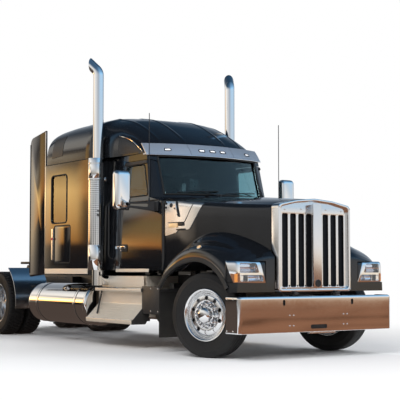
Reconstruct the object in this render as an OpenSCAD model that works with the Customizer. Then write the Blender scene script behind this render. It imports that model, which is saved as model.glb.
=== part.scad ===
// Long-nose sleeper tractor unit, 6x4, for pulling a semi-trailer.
// Millimetres. +X is forward, +Y is the driver's left, +Z is up.
// The origin is on the ground, midway along the length and the width.
// Places along the truck are given as a distance behind the bumper's face.

/* [Overall] */
// From the second driven axle to the rear flaps
rear_overhang = 700; // [650:10:760]
// Width of the bumper
bumper_w = 2440; // [2300:10:2500]
// Height of the exhaust tips above the ground
stack_top = 4165; // [3950:5:4300]

/* [Wheels] */
// Outer diameter of every tyre
tyre_d = 1052; // [1000:2:1060]
// Width of a tyre's section
tyre_w = 283; // [260:1:290]
// Diameter of a rim at its flange
rim_d = 648; // [630:2:660]
// Front axle, behind the bumper's face
front_axle_d = 906; // [890:2:930]
// Distance between the two driven axles
tandem = 1320; // [1280:10:1400]
// Centre of a steered tyre, from the centre line
steer_y = 1030; // [1010:2:1050]
// Mounting face of the twin wheels, from the centre line
twin_y = 913; // [900:1:925]
// Distance between the tyre centres of a twin pair
twin_gap = 330; // [310:2:345]
// Angle at which the front wheels stand turned to the left
steer_now = 18; // [0:1:20]
// Kingpin, from the centre line
kingpin_y = 870; // [860:2:880]

/* [Frame] */
// Outer face of a frame rail, from the centre line
rail_y = 430; // [400:5:450]
// Underside of the rails above the ground
rail_z = 735; // [720:5:745]
// Height of a rail
rail_h = 270; // [240:5:280]
// Thickness of a rail's web and flanges
rail_t = 12; // [8:1:16]

/* [Nose] */
// Lower edge of the bumper above the ground
bumper_z = 325; // [300:5:360]
// Upper edge of the bumper above the ground
bumper_top = 765; // [740:1:770]
// Length of the bumper's side returns
bumper_return = 270; // [200:5:280]
// Half-width of the grille frame
grille_y = 580; // [560:2:590]
// Lower edge of the grille frame
grille_z = 815; // [812:1:840]
// Number of slots on each side of the grille's centre bar
grille_slots = 4; // [3:1:5]
// Outermost face of the wings, from the centre line
wing_y = 1235; // [1200:1:1245]
// Height of the wheel arch's lip above the axle
arch_rise = 655; // [640:1:680]

/* [Cab] */
// Half-width of the cab below its windows
cab_y = 1040; // [1020:2:1050]
// Thickness of the cab's and the doors' walls
cab_wall = 50; // [40:1:60]
// Back wall of the cab, behind the bumper's face
cab_back_d = 3555; // [3500:5:3600]
// Underside of the cab
cab_z = 1075; // [1050:1:1090]
// Seam under the roof moulding
roof_z = 2700; // [2680:1:2720]
// Front edge of a door, behind the bumper's face
door_d = 1995; // [1980:1:2020]
// Length of a door
door_l = 1085; // [1050:1:1110]
// Gap around a door
door_gap = 10; // [8:1:14]

/* [Sleeper] */
// Half-width of the sleeper
sleeper_y = 1200; // [1180:2:1215]
// Length of the sleeper
sleeper_l = 1590; // [1500:10:1650]
// Thickness of the sleeper's walls
sleeper_wall = 45; // [35:1:55]
// Length of the side extenders behind the sleeper
extender_l = 570; // [500:10:600]
// Crown of the roof above the ground
roof_top = 3350; // [3300:5:3380]

/* [Fittings] */
// Diameter of an exhaust pipe
stack_d = 152; // [120:1:160]
// Diameter of the guard around an exhaust
guard_d = 208; // [190:1:212]
// Diameter of a fuel tank
tank_d = 620; // [560:5:640]
// Length of a fuel tank
tank_l = 1900; // [1600:10:1920]
// Height of a mirror's head
mirror_h = 530; // [450:5:560]

/* [Hidden] */
$fn = 64;

// Space between pieces that are fixed together
seat = 0.4;
// Space around a pin that turns
run = 0.05;
// The steps lie below the doors, and the fuel tanks follow behind them
step_d = cab_back_d - 1075;
step_l = 1290;
tank_d0 = step_d + step_l + 90;
// Room for the driven wheels behind the tanks
tank_gap = 594;
drive_axle_d = tank_d0 + tank_l + tank_gap + tyre_d / 2;
overall_l = drive_axle_d + tandem + rear_overhang;
front_x = overall_l / 2;
axle_z = tyre_d / 2;
rail_top = rail_z + rail_h;
LEFT = 1;
RIGHT = -1;

// Outlines with rounded corners. A corner is [u, v, radius].
ARC_STEPS = 6;
function unit(v) = v / norm(v);
function flat(c) = [c[0], c[1]];
function corner_arc(a, b, c, r) =
    let (
        u = unit(a - b),
        v = unit(c - b),
        half = acos(u * v) / 2,
        centre = b + unit(u + v) * r / sin(half),
        p = b + u * r / tan(half) - centre,
        q = b + v * r / tan(half) - centre,
        start = atan2(p[1], p[0]),
        sweep = (atan2(q[1], q[0]) - start + 540) % 360 - 180)
    [for (i = [0:ARC_STEPS])
        centre + r * [cos(start + sweep * i / ARC_STEPS), sin(start + sweep * i / ARC_STEPS)]];
function outline(corners) =
    let (n = len(corners))
    [for (i = [0:n - 1])
        each corners[i][2] == 0 ? [flat(corners[i])] : corner_arc(
            flat(corners[(i + n - 1) % n]), flat(corners[i]), flat(corners[(i + 1) % n]),
            corners[i][2])];
// Moves every side of an anticlockwise outline inwards by s.
function inset(corners, s) =
    let (n = len(corners))
    [for (i = [0:n - 1])
        let (
            b = flat(corners[i]),
            u = unit(b - flat(corners[(i + n - 1) % n])),
            v = unit(flat(corners[(i + 1) % n]) - b),
            m = [-u[1] - v[1], u[0] + v[0]],
            p = b + s * m / (1 + u * v))
        [p[0], p[1], corners[i][2] == 0 ? 0 : max(1, corners[i][2] - s)]];

// Prisms from an outline. d is the distance behind the bumper's face.
module side_prism(points, y0, y1) {
    translate([front_x, y1, 0])
        rotate([90, 0, 0])
            linear_extrude(y1 - y0)
                polygon([for (p = points) [-p[0], p[1]]]);
}
module plan_prism(points, z0, z1) {
    translate([front_x, 0, z0])
        linear_extrude(z1 - z0)
            polygon([for (p = points) [-p[0], p[1]]]);
}
module front_prism(points, d0, d1) {
    translate([front_x - d1, 0, 0])
        rotate([90, 0, 90])
            linear_extrude(d1 - d0)
                polygon(points);
}
module block(d0, d1, y0, y1, z0, z1) {
    translate([front_x - d1, y0, z0])
        cube([d1 - d0, y1 - y0, z1 - z0]);
}
module at(d, y, z) {
    translate([front_x - d, y, z])
        children();
}
module both_sides() {
    children();
    mirror([0, 1, 0])
        children();
}
module on_side(side) {
    if (side == LEFT) children();
    else mirror([0, 1, 0]) children();
}
// A round bar across the truck.
module cross_bar(r, y0, y1) {
    translate([0, y0, 0])
        rotate([-90, 0, 0])
            cylinder(r = r, h = y1 - y0);
}
// A round bar along the truck, from d0 back to d1.
module long_bar(r, d0, d1, y, z) {
    translate([front_x - d1, y, z])
        rotate([0, 90, 0])
            cylinder(r = r, h = d1 - d0);
}
// Skin through rings of points, closed at both ends.
module loft(rings) {
    n = len(rings[0]);
    m = len(rings);
    polyhedron(
        points = [for (ring = rings) each ring],
        faces = [
            [for (j = [n - 1:-1:0]) j],
            for (i = [0:m - 2], j = [0:n - 1])
                each [
                    [i * n + j, i * n + (j + 1) % n, (i + 1) * n + (j + 1) % n],
                    [i * n + j, (i + 1) * n + (j + 1) % n, (i + 1) * n + j]],
            [for (j = [0:n - 1]) (m - 1) * n + j]],
        convexity = 8);
}
// A shell between an outer and an inner run of curves with as many points each.
module shell_loft(outer, inner) {
    k = len(outer[0]);
    n = 2 * k;
    m = len(outer);
    polyhedron(
        points = [for (i = [0:m - 1]) each concat(outer[i], [for (j = [k - 1:-1:0]) inner[i][j]])],
        faces = [
            for (i = [0:m - 2], j = [0:n - 1])
                each [
                    [i * n + j, i * n + (j + 1) % n, (i + 1) * n + (j + 1) % n],
                    [i * n + j, (i + 1) * n + (j + 1) % n, (i + 1) * n + j]],
            for (j = [0:k - 2])
                each [
                    [n - 2 - j, j + 1, j],
                    [n - 1 - j, n - 2 - j, j]],
            for (j = [0:k - 2])
                each [
                    [(m - 1) * n + j, (m - 1) * n + j + 1, (m - 1) * n + n - 2 - j],
                    [(m - 1) * n + j, (m - 1) * n + n - 2 - j, (m - 1) * n + n - 1 - j]]],
        convexity = 8);
}

// Frame, with the bonnet's hinge brackets at its nose.
rail_front_d = 210;
rail_back_d = overall_l - 90;
rail_flange = 90;
cross_ds = [330, 2950, 4000, 5300, drive_axle_d + tandem / 2, rail_back_d - 60];
hinge_d = 35;
hinge_z = (bumper_top + grille_z) / 2;
hinge_y = 330;
hinge_pin_r = 8;
hinge_eye_r = 16;
ear_half = 15;
fork_gap = 2;
fork_t = 14;
module rail_section() {
    polygon([
        [rail_y, rail_z], [rail_y, rail_top], [rail_y - rail_flange, rail_top],
        [rail_y - rail_flange, rail_top - rail_t], [rail_y - rail_t, rail_top - rail_t],
        [rail_y - rail_t, rail_z + rail_t], [rail_y - rail_flange, rail_z + rail_t],
        [rail_y - rail_flange, rail_z]]);
}
module hinge_fork() {
    reach = ear_half + fork_gap + fork_t;
    for (y0 = [-reach, ear_half + fork_gap]) {
        at(hinge_d, hinge_y + y0, hinge_z)
            cross_bar(hinge_eye_r, 0, fork_t);
        block(hinge_d, 200, hinge_y + y0, hinge_y + y0 + fork_t, hinge_z - hinge_eye_r, hinge_z);
        block(120, 200, hinge_y + y0, hinge_y + y0 + fork_t, rail_z, hinge_z);
    }
    at(hinge_d, hinge_y, hinge_z)
        cross_bar(hinge_pin_r, -reach, reach);
    block(160, rail_front_d + 40, hinge_y - reach, rail_y, rail_z, hinge_z);
}
module frame_rails() {
    color("#202225")
        union() {
            both_sides()
                translate([front_x - rail_back_d, 0, 0])
                    rotate([90, 0, 90])
                        linear_extrude(rail_back_d - rail_front_d)
                            rail_section();
            for (d = cross_ds)
                block(d - 50, d + 50, -rail_y + rail_t / 2, rail_y - rail_t / 2,
                    rail_z + 40, rail_top - 40);
            both_sides() {
                hinge_fork();
                block(bumper_t + seat, rail_front_d + 50, rail_y - 60, rail_y - rail_t,
                    bumper_z + 130, bumper_top - 45);
                block(rail_front_d, rail_front_d + 50, rail_y - 60, rail_y - rail_t,
                    bumper_z + 130, rail_top - rail_t);
            }
        }
}

// Bumper: a formed plate with side returns.
bumper_t = 8;
bumper_bend = 60;
tow_slot_y = 545;
module bumper() {
    w = bumper_w / 2;
    shell = [
        [0, -w, bumper_bend], [bumper_return, -w, 0], [bumper_return, -w + bumper_t, 0],
        [bumper_t, -w + bumper_t, bumper_bend - bumper_t],
        [bumper_t, w - bumper_t, bumper_bend - bumper_t],
        [bumper_return, w - bumper_t, 0], [bumper_return, w, 0], [0, w, bumper_bend]];
    color("#c9ccd0")
        difference() {
            plan_prism(outline(shell), bumper_z, bumper_top);
            both_sides()
                front_prism(outline([
                    [tow_slot_y - 18, bumper_top - 115, 17], [tow_slot_y + 18, bumper_top - 115, 17],
                    [tow_slot_y + 18, bumper_top - 45, 17], [tow_slot_y - 18, bumper_top - 45, 17]]),
                    -1, bumper_t + 1);
            front_prism(outline([
                [-130, bumper_z + 40, 24], [130, bumper_z + 40, 24],
                [130, bumper_z + 90, 24], [-130, bumper_z + 90, 24]]), -1, bumper_t + 1);
        }
}

// Front axle with its kingpins.
beam_z = axle_z - 180;
beam_h = 95;
boss_h = 150;
lug_h = 40;
lug_gap = 2;
kingpin_r = 24;
lug_r = 50;
lug_z = boss_h / 2 + lug_gap;
module front_axle() {
    color("#2a2b2d")
        union() {
            block(front_axle_d - 50, front_axle_d + 50, -(kingpin_y - 70), kingpin_y - 70,
                beam_z, beam_z + beam_h);
            both_sides() {
                block(front_axle_d - 50, front_axle_d + 50, kingpin_y - 130, kingpin_y - 70,
                    beam_z, axle_z + 60);
                block(front_axle_d - 40, front_axle_d + 40, kingpin_y - 80, kingpin_y,
                    axle_z - 60, axle_z + 60);
                at(front_axle_d, kingpin_y, axle_z - boss_h / 2)
                    cylinder(r = lug_r, h = boss_h);
                at(front_axle_d, kingpin_y, axle_z - lug_z - lug_h - 6)
                    cylinder(r = kingpin_r, h = 2 * (lug_z + lug_h + 6));
            }
        }
}
spring_y = rail_y - 45;
spring_t = 60;
spring_half = 640;
module front_springs() {
    low = beam_z + beam_h + seat;
    high = low + 150;
    color("#2f3033")
        both_sides() {
            side_prism([
                [front_axle_d - spring_half, high], [front_axle_d - 60, low],
                [front_axle_d + 60, low], [front_axle_d + spring_half, high],
                [front_axle_d + spring_half, high + 30], [front_axle_d + 60, low + spring_t],
                [front_axle_d - 60, low + spring_t], [front_axle_d - spring_half, high + 30]],
                spring_y - 40, spring_y + 40);
            for (d = [front_axle_d - spring_half + 30, front_axle_d + spring_half - 30])
                block(d - 30, d + 30, spring_y - 30, spring_y + 30, high, rail_z - seat);
        }
}
// Turns a steered piece from straight ahead to where the wheels stand.
module at_kingpin(side, turn = 0) {
    at(front_axle_d, side * kingpin_y, axle_z)
        rotate([0, 0, steer_now + turn])
            if (side == LEFT) children();
            else mirror([0, 1, 0]) children();
}
hub_in = 100;
spindle_r = 40;
steer_arm = 220;
arm_pin_r = 12;
arm_eye_r = 24;
arm_half = 20;
arm_z = -lug_z - lug_h + 4;
arm_t = 32;
module knuckle(side) {
    yoke_y = 62;
    wheel_off = steer_y - kingpin_y;
    color("#37393c")
        at_kingpin(side)
            difference() {
                union() {
                    for (z = [lug_z, -lug_z - lug_h]) {
                        translate([0, 0, z])
                            cylinder(r = lug_r, h = lug_h);
                        translate([-lug_r, 0, z])
                            cube([2 * lug_r, yoke_y + 30, lug_h]);
                    }
                    translate([-lug_r, yoke_y, -lug_z - lug_h])
                        cube([2 * lug_r, 30, 2 * (lug_z + lug_h)]);
                    cross_bar(spindle_r, yoke_y + 20, wheel_off + hub_bore_out - 4);
                    translate([-steer_arm, -arm_half, arm_z])
                        cube([steer_arm, 2 * arm_half, arm_t]);
                    translate([-steer_arm, 0, arm_z])
                        cylinder(r = arm_eye_r, h = arm_t);
                }
                translate([0, 0, -300])
                    cylinder(r = kingpin_r + run, h = 600);
                translate([-steer_arm, 0, arm_z - 1])
                    cylinder(r = arm_pin_r + run, h = arm_t + 2);
            }
}
module knuckle_left() { knuckle(LEFT); }
module knuckle_right() { knuckle(RIGHT); }
tie_drop = 36;
module tie_rod() {
    rod_x = front_x - front_axle_d - steer_arm * cos(steer_now);
    rod_y = -steer_arm * sin(steer_now);
    rod_z = axle_z + arm_z - tie_drop;
    color("#3a3b3d")
        union() {
            translate([rod_x, rod_y, rod_z])
                cross_bar(18, -kingpin_y, kingpin_y);
            for (side = [LEFT, RIGHT])
                translate([rod_x, rod_y + side * kingpin_y, rod_z - 20]) {
                    cylinder(r = arm_eye_r, h = 40);
                    cylinder(r = arm_pin_r, h = tie_drop + 20 + arm_t);
                }
        }
}

// Engine and gearbox as one plain block, and the radiator behind the grille.
engine_d = 470;
engine_back_d = 1830;
gearbox_d = 2760;
shaft_z = rail_z - 35;
module engine_block() {
    mount_z = rail_z + 100;
    color("#3b3f44")
        union() {
            block(engine_d, engine_back_d, -300, 300, rail_z - 90, 1020);
            block(engine_d, engine_back_d, -330, 330, 1010, 1580);
            block(engine_back_d - 10, gearbox_d, -230, 230, rail_z - 100, 1000);
            block(700, 800, -rail_y + rail_t + seat, rail_y - rail_t - seat, mount_z, mount_z + 60);
        }
}
module radiator() {
    color("#191a1c")
        union() {
            block(200 + 60, 360, -500, 500, rail_top + seat, 1790);
            block(200 + 20, 270, -320, 320, grille_z + 30, 1700);
        }
}

// Driven axles with their shafts.
axle_tube_r = 70;
drive_spindle_r = 45;
axle_end_y = 612;
bowl_r = 205;
module drive_line() {
    color("#2b2d30")
        union() {
            for (d = [drive_axle_d, drive_axle_d + tandem])
                at(d, 0, axle_z) {
                    cross_bar(axle_tube_r, -axle_end_y, axle_end_y);
                    cross_bar(drive_spindle_r, -twin_y - twin_bore_out + 4, twin_y + twin_bore_out - 4);
                    sphere(r = bowl_r);
                    rotate([0, 90, 0])
                        cylinder(r = 90, h = 330);
                }
            at(gearbox_d + seat, 0, shaft_z)
                rotate([0, -90, 0])
                    cylinder(r = 80, h = 40);
            shaft(gearbox_d + 20, shaft_z, drive_axle_d - 320);
            shaft(drive_axle_d + 100, axle_z, drive_axle_d + tandem - 320);
        }
}
module shaft(d0, z0, d1) {
    fall = z0 - axle_z;
    long = sqrt((d1 - d0) * (d1 - d0) + fall * fall);
    at(d0, 0, z0)
        rotate([0, -90 - atan2(fall, d1 - d0), 0])
            cylinder(r = 60, h = long);
}
beam_half = 45;
module rear_suspension() {
    arm_y = rail_y - beam_half - 5;
    arm_z0 = axle_z + axle_tube_r + seat;
    color("#2c2d30")
        both_sides()
            for (d = [drive_axle_d, drive_axle_d + tandem])
                union() {
                    block(d - 520, d + 420, arm_y - beam_half, arm_y + beam_half, arm_z0, arm_z0 + 62);
                    block(d - 520, d - 430, arm_y - beam_half, arm_y + beam_half, arm_z0, rail_z - seat);
                    at(d + 300, arm_y, arm_z0 + 30)
                        cylinder(r = 120, h = rail_z - seat - arm_z0 - 30);
                }
}

// Coupling for the trailer: a plate that rocks on two pedestals.
plate_d = drive_axle_d + tandem / 2 - 80;
plate_pin_z = rail_top + 125;
plate_pin_r = 25;
plate_t = 40;
plate_z = plate_pin_z + 55;
plate_half_w = 460;
plate_half_l = 430;
pedestal_y = 330;
pedestal_t = 50;
plate_ear_y = pedestal_y - 60;
module coupling_mount() {
    color("#26282a")
        both_sides()
            union() {
                side_prism(outline([
                    [plate_d - 170, rail_top + seat, 0], [plate_d + 170, rail_top + seat, 0],
                    [plate_d + 45, plate_pin_z + 35, 30], [plate_d - 45, plate_pin_z + 35, 30]]),
                    pedestal_y, pedestal_y + pedestal_t);
                block(plate_d - 230, plate_d + 230, pedestal_y - 20, rail_y + 20,
                    rail_top + seat, rail_top + 18);
                at(plate_d, 0, plate_pin_z)
                    cross_bar(plate_pin_r, plate_ear_y - 5, pedestal_y + 10);
            }
}
module coupling_plate() {
    throat = 60;
    rim = [
        [plate_d - plate_half_l, -plate_half_w, 120], [plate_d + 150, -plate_half_w, 60],
        [plate_d + plate_half_l, -plate_half_w + 150, 40], [plate_d + plate_half_l, -210, 30],
        [plate_d + 90, -throat, 20], [plate_d - 20, -throat, 55], [plate_d - 20, throat, 55],
        [plate_d + 90, throat, 20], [plate_d + plate_half_l, 210, 30],
        [plate_d + plate_half_l, plate_half_w - 150, 40], [plate_d + 150, plate_half_w, 60],
        [plate_d - plate_half_l, plate_half_w, 120]];
    color("#1d1e20")
        difference() {
            union() {
                plan_prism(outline(rim), plate_z, plate_z + plate_t);
                both_sides()
                    side_prism([
                        [plate_d - 120, plate_z + 5], [plate_d - 45, plate_pin_z - 45],
                        [plate_d + 45, plate_pin_z - 45], [plate_d + 120, plate_z + 5]],
                        plate_ear_y, pedestal_y - 8);
            }
            at(plate_d, 0, plate_pin_z)
                cross_bar(plate_pin_r + run, -pedestal_y, pedestal_y);
        }
}

// Fuel tanks on brackets, each with two straps.
tank_y = 880;
tank_z = 570;
strap_w = 70;
tank_rim = 60;
module fuel_tank() {
    r = tank_d / 2;
    at(tank_d0, tank_y, tank_z)
        rotate([0, -90, 0])
            rotate_extrude()
                polygon([
                    [0, 0], [r - tank_rim, 0], [r - tank_rim / 3, tank_rim / 4], [r, tank_rim],
                    [r, tank_l - tank_rim], [r - tank_rim / 3, tank_l - tank_rim / 4],
                    [r - tank_rim, tank_l], [0, tank_l]]);
    for (d = [tank_d0 + 330, tank_d0 + tank_l - 330]) {
        long_bar(r + 6, d - strap_w / 2, d + strap_w / 2, tank_y, tank_z);
        block(d - 50, d + 50, rail_y + seat, tank_y - r + 120, tank_z - 60, rail_top - 30);
        block(d - 50, d + 50, tank_y - r, tank_y, tank_z - r - 40, tank_z);
        block(d - 50, d + 50, rail_y + seat, tank_y - r + 20, tank_z - r - 40, rail_top - 30);
    }
}
module fuel_tanks() {
    color("#d5d7da")
        both_sides()
            union()
                fuel_tank();
}

// Steps below the doors, with the box behind them.
step_y = 1210;
step_box_l = 880;
upper_step_y = 1060;
upper_step_z = 830;
lower_step_z = 400;
module cab_steps() {
    back = 990;
    color("#b9bcc0")
        both_sides()
            union() {
                front_prism([
                    [back - 60, upper_step_z], [back - 60, lower_step_z + 40], [back, lower_step_z - 60],
                    [step_y, lower_step_z - 60], [step_y, lower_step_z], [step_y - 25, lower_step_z + 8],
                    [back, lower_step_z + 210], [back, upper_step_z - 50],
                    [upper_step_y, upper_step_z - 50], [upper_step_y, upper_step_z]],
                    step_d, step_d + step_l);
                block(step_d + 20, step_d + step_box_l, rail_y + seat, back - 40, 440, 1000);
                block(step_d + 20, step_d + step_l - 20, rail_y + seat, back - 40, 480, 820);
                block(step_d - 480, step_d + 30, back - 140, back - 110, 470, 830);
                block(step_d - 480, step_d - 440, rail_y + seat, back - 110, 640, 830);
            }
}
module air_tanks() {
    air_r = 125;
    air_y = 720;
    color("#1e1f21")
        both_sides()
            union() {
                long_bar(air_r, step_d - 470, step_d - 40, air_y, 470);
                block(step_d - 300, step_d - 200, rail_y + seat, air_y, 420, 900);
            }
}

// Exhausts: an upright pipe in a guard, with a tip that turns back.
stack_at = cab_back_d - 55;
stack_y = 1172;
stack_z0 = 930;
guard_z0 = 1080;
guard_z1 = 2690;
tip_bend = 190;
tip_turn = 48;
tip_out = 30;
tip_l = 150;
guard_t = 6;
module exhaust_stack() {
    r = stack_d / 2;
    shield_r = guard_d / 2;
    rise = tip_bend * sin(tip_turn) + tip_l * cos(tip_turn) + r * sin(tip_turn);
    bend_z = stack_top - rise + 40;
    at(stack_at, stack_y, 0)
        difference() {
            union() {
                rotate_extrude()
                    polygon([
                        [0, stack_z0 - r], [r, stack_z0 - r], [r, guard_z1 - 30],
                        [shield_r - guard_t, guard_z1 - 30], [shield_r - guard_t, guard_z0],
                        [shield_r, guard_z0], [shield_r, guard_z1], [r, guard_z1], [r, bend_z], [0, bend_z]]);
                translate([0, rail_y + 40 - stack_y, stack_z0])
                    cross_bar(r - 8, 0, stack_y - rail_y - 40);
                translate([-45, rail_y + seat - stack_y, stack_z0 - 50])
                    cube([90, 60, 100]);
                translate([0, 0, bend_z])
                    rotate([0, 0, -tip_out])
                        tip(r);
                translate([-25, cab_y + seat - stack_y, guard_z1 - 330])
                    cube([50, stack_y - guard_d / 2 - cab_y + 4, 60]);
            }
            translate([0, 0, bend_z])
                rotate([0, 0, -tip_out])
                    tip_end()
                        cylinder(r = r - 6, h = tip_l + 10);
            translate([-400, -400, stack_top])
                cube([800, 800, 400]);
        }
}
// Places a piece on the tip's bend, where it has turned by a degrees.
module on_bend(a) {
    translate([-tip_bend * (1 - cos(a)), 0, tip_bend * sin(a)])
        rotate([0, -a, 0])
            children();
}
module tip_end() {
    on_bend(tip_turn)
        children();
}
tip_parts = 3;
tip_bead = 1.5;
module tip(r) {
    step = tip_turn / tip_parts;
    chord = 2 * tip_bend * sin(step / 2);
    for (i = [0:tip_parts - 1])
        on_bend(i * step) {
            sphere(r = r + tip_bead);
            rotate([0, -step / 2, 0])
                cylinder(r = r, h = chord);
        }
    tip_end() {
        sphere(r = r + tip_bead);
        cylinder(r = r, h = tip_l);
    }
}
module exhaust_stacks() {
    color("#cfd1d3")
        both_sides()
            exhaust_stack();
}

// Cab. Each level is a plan: front at the centre, sweep of its corners, how square, half-width.
cowl_d = 1905;
cab_belt_z = 2000;
cab_sill_z = 2075;
cab_low = [cowl_d, 70, 9, cab_y];
cab_glass_low = [cowl_d + 80, 380, 2.2, cab_y - 40];
cab_glass_top = [cowl_d + 385, 210, 2.2, cab_y - 80];
front_steps = 14;
function swept(level, s, y) = level[0] + s + level[1] * pow(min(1, abs(y) / (level[3] - s)), level[2]);
function ring(level, s, z) = concat(
    [for (i = [0:front_steps])
        let (y = (level[3] - s) * sin(90 * (2 * i / front_steps - 1)))
        [front_x - swept(level, s, y), y, z]],
    [[front_x - cab_back_d + s, level[3] - s, z], [front_x - cab_back_d + s, -level[3] + s, z]]);
function cab_rings(s, z0, z1) = [
    ring(cab_low, s, z0), ring(cab_low, s, cab_belt_z),
    ring(cab_glass_low, s, cab_sill_z), ring(cab_glass_top, s, z1)];
// The cab's walls between two depths below its outer skin.
module cab_walls(s0, s1, z0, floor_t) {
    outer = cab_rings(s0, z0, roof_z);
    inner = cab_rings(s1, z0 + floor_t, roof_z);
    loft([for (r = concat(outer, [for (i = [3:-1:0]) inner[i]])) reverse(r)]);
}
// Outlines of the door and of its window, seen from the side.
door_z0 = cab_z + 40;
door_z1 = 2600;
function door_corners(g) = [
    [door_d - g, door_z0 - g, 60], [door_d - g, cab_belt_z + 40, 100],
    [2440 - g, door_z1 + g, 60], [door_d + door_l + 1.6 * g, door_z1 + g, 60],
    [door_d + door_l + 1.6 * g, door_z0 - g, 60]];
function door_window(g) = [
    [2400 + g, cab_sill_z + 30 + g, 40], [2540 + g, door_z1 - 60 - g, 60],
    [door_d + door_l - 70 - g, door_z1 - 60 - g, 50],
    [door_d + door_l - 70 - g, cab_sill_z + 30 + g, 50]];
screen_y = 830;
walk_y = 420;
module cab_shell() {
    color("#0c0d0f")
        union() {
            difference() {
                cab_walls(0, cab_wall, cab_z, 40);
                both_sides()
                    side_prism(outline(door_corners(door_gap)), cab_y - 200, cab_y + 60);
                block(cowl_d - 20, 2600, -screen_y, screen_y, screen_low, screen_high);
                block(cab_back_d - 100, cab_back_d + 10, -walk_y, walk_y, cab_z + 100, roof_z - 200);
            }
            for (d = [2150, 3250])
                both_sides()
                    block(d - 60, d + 60, rail_y - 85, rail_y - 5, rail_top + seat, cab_z + 5);
        }
}
module door(side) {
    color("#0c0d0f")
        on_side(side)
            difference() {
                intersection() {
                    cab_walls(0, cab_wall, cab_z, 40);
                    side_prism(outline(door_corners(0)), cab_y - 200, cab_y + 60);
                }
                side_prism(outline(door_window(0)), cab_y - 250, cab_y + 90);
            }
}
module door_left() { door(LEFT); }
module door_right() { door(RIGHT); }
glass_in = 15;
glass_t = 8;
glass_gap = 0.9;
// Lean of the side windows.
side_lean = atan2(cab_glass_low[3] - cab_glass_top[3], roof_z - cab_sill_z);
module door_glass(side) {
    pane = [for (p = outline(door_window(glass_gap))) [p[0], (p[1] - cab_sill_z) / cos(side_lean)]];
    color("#3a4046", 0.5)
        on_side(side)
            translate([0, cab_glass_low[3] - glass_in, cab_sill_z])
                rotate([side_lean, 0, 0])
                    side_prism(pane, -glass_t, 0);
}
module door_glass_left() { door_glass(LEFT); }
module door_glass_right() { door_glass(RIGHT); }

// Mirrors stand on the doors.
mirror_d = 2390;
mirror_y = 1415;
mirror_z = 1890;
mirror_w = 240;
mirror_deep = 120;
module mirror_head() {
    intersection() {
        front_prism(outline([
            [mirror_y - mirror_w / 2, mirror_z, 60], [mirror_y + mirror_w / 2, mirror_z, 60],
            [mirror_y + mirror_w / 2, mirror_z + mirror_h, 60],
            [mirror_y - mirror_w / 2, mirror_z + mirror_h, 60]]),
            mirror_d - mirror_deep / 2, mirror_d + mirror_deep / 2);
        plan_prism(outline([
            [mirror_d - mirror_deep / 2, mirror_y - mirror_w / 2, 55],
            [mirror_d + mirror_deep / 2, mirror_y - mirror_w / 2, 8],
            [mirror_d + mirror_deep / 2, mirror_y + mirror_w / 2, 8],
            [mirror_d - mirror_deep / 2, mirror_y + mirror_w / 2, 55]]),
            mirror_z - 10, mirror_z + mirror_h + 10);
    }
}
module mirror_unit(side) {
    foot_d = door_d + 110;
    arm_at_z = mirror_z + 70;
    run_d = mirror_d - 20 - foot_d;
    run_y = mirror_y - 60 - cab_y;
    color("#1b1c1e")
        on_side(side)
            union() {
                mirror_head();
                at(foot_d, cab_y, arm_at_z)
                    rotate([0, 0, 90 + atan2(run_d, run_y)])
                        translate([0, -22, -25])
                            cube([sqrt(run_d * run_d + run_y * run_y), 44, 50]);
                block(foot_d - 60, foot_d + 90, cab_y + seat, cab_y + 30, arm_at_z - 60, arm_at_z + 35);
            }
}
module mirror_left() { mirror_trim(LEFT); }
module mirror_right() { mirror_trim(RIGHT); }
// Takes off the part of the arm that would reach into the door.
module mirror_trim(side) {
    difference() {
        mirror_unit(side);
        on_side(side)
            block(door_d - 100, door_d + door_l, cab_y - 200, cab_y + seat, mirror_z - 100, mirror_z + 400);
    }
}

// Glass of the windscreen and the sleeper.
sleeper_d = cab_back_d + 5;
sleeper_back_d = sleeper_d + sleeper_l;
sleeper_z = rail_top + seat;
function side_window(g) = [
    [sleeper_back_d - 730 + g, 1800 + g, 60], [sleeper_back_d - 230 - g, 1800 + g, 60],
    [sleeper_back_d - 230 - g, 2520 - g, 60], [sleeper_back_d - 730 + g, 2520 - g, 60]];
// The windscreen follows the cab's front, at a depth s below its skin.
screen_low = cab_sill_z + 40;
screen_high = roof_z - 45;
function screen_curve(z, s) =
    let (t = (z - cab_sill_z) / (roof_z - cab_sill_z))
    [for (i = [0:front_steps])
        let (
            y = (screen_y - seat) * (1 - 2 * i / front_steps),
            low = swept(cab_glass_low, s, y),
            high = swept(cab_glass_top, s, y))
        [front_x - low - (high - low) * t, y, z]];
module body_glass() {
    zs = [screen_low + seat, (screen_low + screen_high) / 2, screen_high - seat];
    color("#30363c", 0.5) {
        shell_loft(
            [for (z = zs) screen_curve(z, glass_in)],
            [for (z = zs) screen_curve(z, glass_in + glass_t)]);
        both_sides()
            side_prism(outline(side_window(seat)), sleeper_y - 20, sleeper_y - 12);
    }
}

// Inside of the cab.
seat_y = 480;
wheel_hub = 25;
module at_steering() {
    at(2390, seat_y, 1985)
        rotate([0, -50, 0])
            children();
}
module dashboard() {
    low = 1780;
    front = cowl_d + cab_wall + 30;
    column_l = 235;
    color("#3a3632")
        union() {
            side_prism(outline([
                [front, low, 0], [cowl_d + 300, low, 60], [cowl_d + 380, low + 190, 60],
                [cowl_d + 150, cab_sill_z - 60, 40], [front, cab_sill_z - 110, 0]]), -840, 840);
            block(cowl_d + 120, cowl_d + 300, -140, 140, cab_z + 40 + seat, low + 5);
            at_steering()
                translate([0, 0, -wheel_hub - seat - column_l])
                    cylinder(r = 32, h = column_l);
        }
}
module steering_wheel() {
    color("#1f1e1d")
        at_steering()
                union() {
                    rotate_extrude()
                        translate([215, 0])
                            circle(15);
                    translate([0, 0, -wheel_hub])
                        cylinder(r = 70, h = 30);
                    for (a = [30, 150, 270])
                        rotate([0, 0, a])
                            translate([0, -18, -10])
                                cube([212, 36, 12]);
                }
}
seat_d = cab_back_d - 835;
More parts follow.
